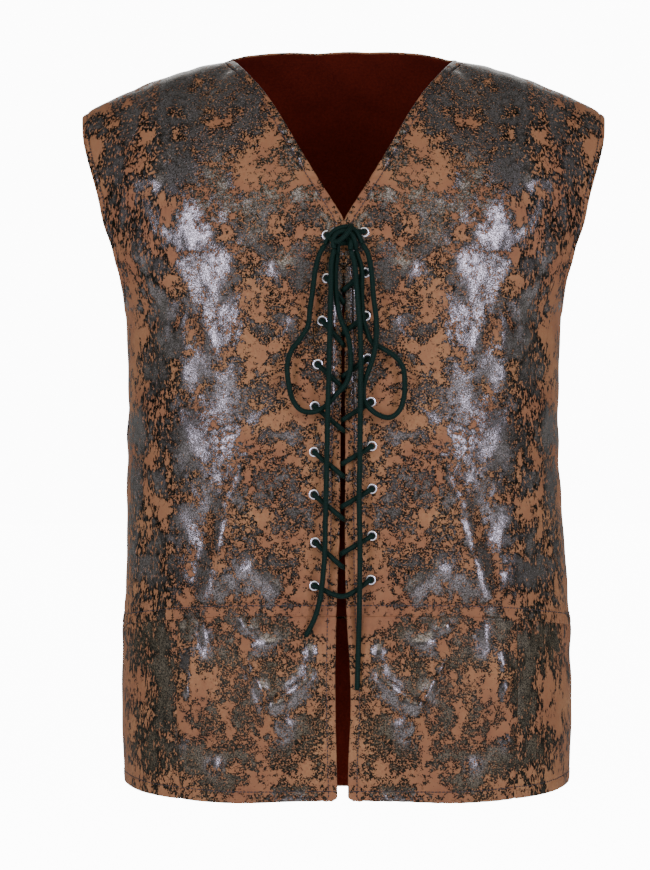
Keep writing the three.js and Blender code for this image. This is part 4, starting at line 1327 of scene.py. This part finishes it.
def row_at(grid, axis, inset, from_end):
    """The line on a grid that lies inset mm in from one edge, with its normals."""
    away = distances(grid, axis, from_end)
    normal = grid_normals(grid)
    if axis == 0:
        grid = grid.swapaxes(0, 1)
        normal = normal.swapaxes(0, 1)
        away = away.T
    points = []
    normals = []
    for line, line_normal, run in zip(grid, normal, away):
        order = np.argsort(run)
        points.append(points_at(inset, run[order], line[order]))
        normals.append(points_at(inset, run[order], line_normal[order]))
    return np.array(points), np.array(normals)


# A panel's edges, seen from outside: the axis across each and whether it is at its far end
EDGES = {"left": (1, False), "right": (1, True), "bottom": (0, False), "top": (0, True)}

# The lines of stitches: how far in from which edge, and from where to where along it
BODY_SEAMS = table(
    "panel edge inset start end",
    ("front_right", "right", EDGE_STITCH_IN, 0, 1),
    ("front_right", "left", ARMHOLE_STITCH_IN, 0.57, 1),
    ("front_right", "bottom", WAIST_STITCH_UP, 0, 1),
    ("front_left", "left", EDGE_STITCH_IN, 0, 1),
    ("front_left", "right", ARMHOLE_STITCH_IN, 0.57, 1),
    ("front_left", "bottom", WAIST_STITCH_UP, 0, 1),
    ("back", "bottom", WAIST_STITCH_UP, 0, 1),
    ("back", "left", ARMHOLE_STITCH_IN, 0.53, 1),
    ("back", "right", ARMHOLE_STITCH_IN, 0.53, 1),
    ("back", "top", EDGE_STITCH_IN, 0.28, 0.72),
)
SKIRT_SEAMS = table(
    "panel edge inset start end",
    ("skirt_front_right", "right", EDGE_STITCH_IN, 0, 1),
    ("skirt_front_right", "bottom", HEM_STITCH_IN, 0, 1),
    ("skirt_front_left", "left", EDGE_STITCH_IN, 0, 1),
    ("skirt_front_left", "bottom", HEM_STITCH_IN, 0, 1),
    ("skirt_back", "bottom", HEM_STITCH_IN, 0, 1),
)


def sew(name, seams):
    places = []
    for seam in seams:
        axis, from_end = EDGES[seam.edge]
        line, normals = row_at(PANELS[seam.panel].grid, axis, seam.inset, from_end)
        part = slice(int(len(line) * seam.start), int(len(line) * seam.end))
        places += stitch_line(line[part], normals[part])
    size = len(STITCH_POINTS)
    faces = [[v + k * size for v in face] for k in range(len(places)) for face in STITCH_FACES]
    piece = mesh_piece(name, np.concatenate(places), faces)
    piece.data.materials.append(THREAD)


sew("stitches_body", BODY_SEAMS)
sew("stitches_skirt", SKIRT_SEAMS)


# Studio
FLOOR_Z = -1.06
FLOOR_REACH = 30
FLOOR_LIGHT = 0.16
AIR_LIGHT = 0.28
STAGE_SEEN = 12.0
STRIP_WATTS = 90
FILL_WATTS = 84
BACK_WATTS = 70
CAMERA = Vector((-17.4, -4000, -353)) * MM
FOCAL_PIXELS = 4255
IMAGE_HEIGHT = 870
SENSOR = 36.0


def studio_camera():
    data = bpy.data.cameras.new("camera")
    data.sensor_width = SENSOR
    data.lens = FOCAL_PIXELS / IMAGE_HEIGHT * SENSOR
    data.clip_end = 50
    camera = bpy.data.objects.new("camera", data)
    camera.location = CAMERA
    camera.rotation_euler = (math.pi / 2, 0, 0)
    bpy.context.scene.collection.objects.link(camera)
    bpy.context.scene.camera = camera


def soft_light(name, place, target, width, height, watts, colour):
    data = bpy.data.lights.new(name, "AREA")
    data.shape = "RECTANGLE"
    data.size = width
    data.size_y = height
    data.energy = watts
    data.color = linear(colour)[:3]
    lamp = bpy.data.objects.new(name, data)
    lamp.location = place
    way = Vector(target) - Vector(place)
    lamp.rotation_euler = way.to_track_quat("-Z", "Y").to_euler()
    bpy.context.scene.collection.objects.link(lamp)


def lit_where_seen(tree, light):
    """A strength that is full where the camera looks and dimmer as a light."""
    seen = add_node(tree, "LightPath", output="Is Camera Ray")
    return add_node(tree, "Mix", {"Factor": seen, "A": light, "B": STAGE_SEEN})


def studio_floor():
    """A plain pale floor, far enough down that the vest hangs clear of it."""
    mesh = bpy.data.meshes.new("studio_floor")
    ways = ((-1, -1), (1, -1), (1, 1), (-1, 1))
    corners = [(x * FLOOR_REACH, y * FLOOR_REACH, FLOOR_Z) for x, y in ways]
    mesh.from_pydata(corners, [], [[0, 1, 2, 3]])
    floor = bpy.data.objects.new("studio_floor", mesh)
    bpy.context.scene.collection.objects.link(floor)
    material, tree, shader = new_material("matt_white_painted_floor")
    place = add_node(tree, "TexCoord", output="Object")
    mottle = add_node(tree, "TexNoise", {"Vector": place, "Scale": per_metre(60), "Detail": 2.0})
    colour = add_node(tree, "Mix", {"Factor": mottle, "A": "#F2F2F1", "B": "#F8F8F7"}, data_type="RGBA")
    finish_material(
        tree, shader, {"Base Color": colour, "Emission Strength": lit_where_seen(tree, FLOOR_LIGHT)},
        Roughness=0.9, Emission_Color=linear("#FFFFFF"),
    )
    mesh.materials.append(material)


def studio_air():
    """White where the camera sees it, dimmer as a light, so that the coat's reflections stay dark."""
    world = bpy.data.worlds.new("studio_air")
    world.use_nodes = True
    tree = world.node_tree
    strength = lit_where_seen(tree, AIR_LIGHT)
    finish_material(tree, tree.nodes["Background"], {"Strength": strength}, Color=linear("#FFFFFF"))
    bpy.context.scene.world = world


studio_camera()
studio_floor()
studio_air()
for name, x in (("strip_left", 2.2), ("strip_right", -2.2)):
    soft_light(name, (x, -2.55, 0.45), (0, 0, -0.2), 0.75, 2.1, STRIP_WATTS, "#DAD8FF")
soft_light("front_fill", (0, -4.4, 2.8), (0, 0, -0.35), 5.0, 2.4, FILL_WATTS, "#FFF6EC")
soft_light("back_wash", (0, 3.6, 1.6), (0, 0, -0.35), 5.0, 3.0, BACK_WATTS, "#FFFFFF")
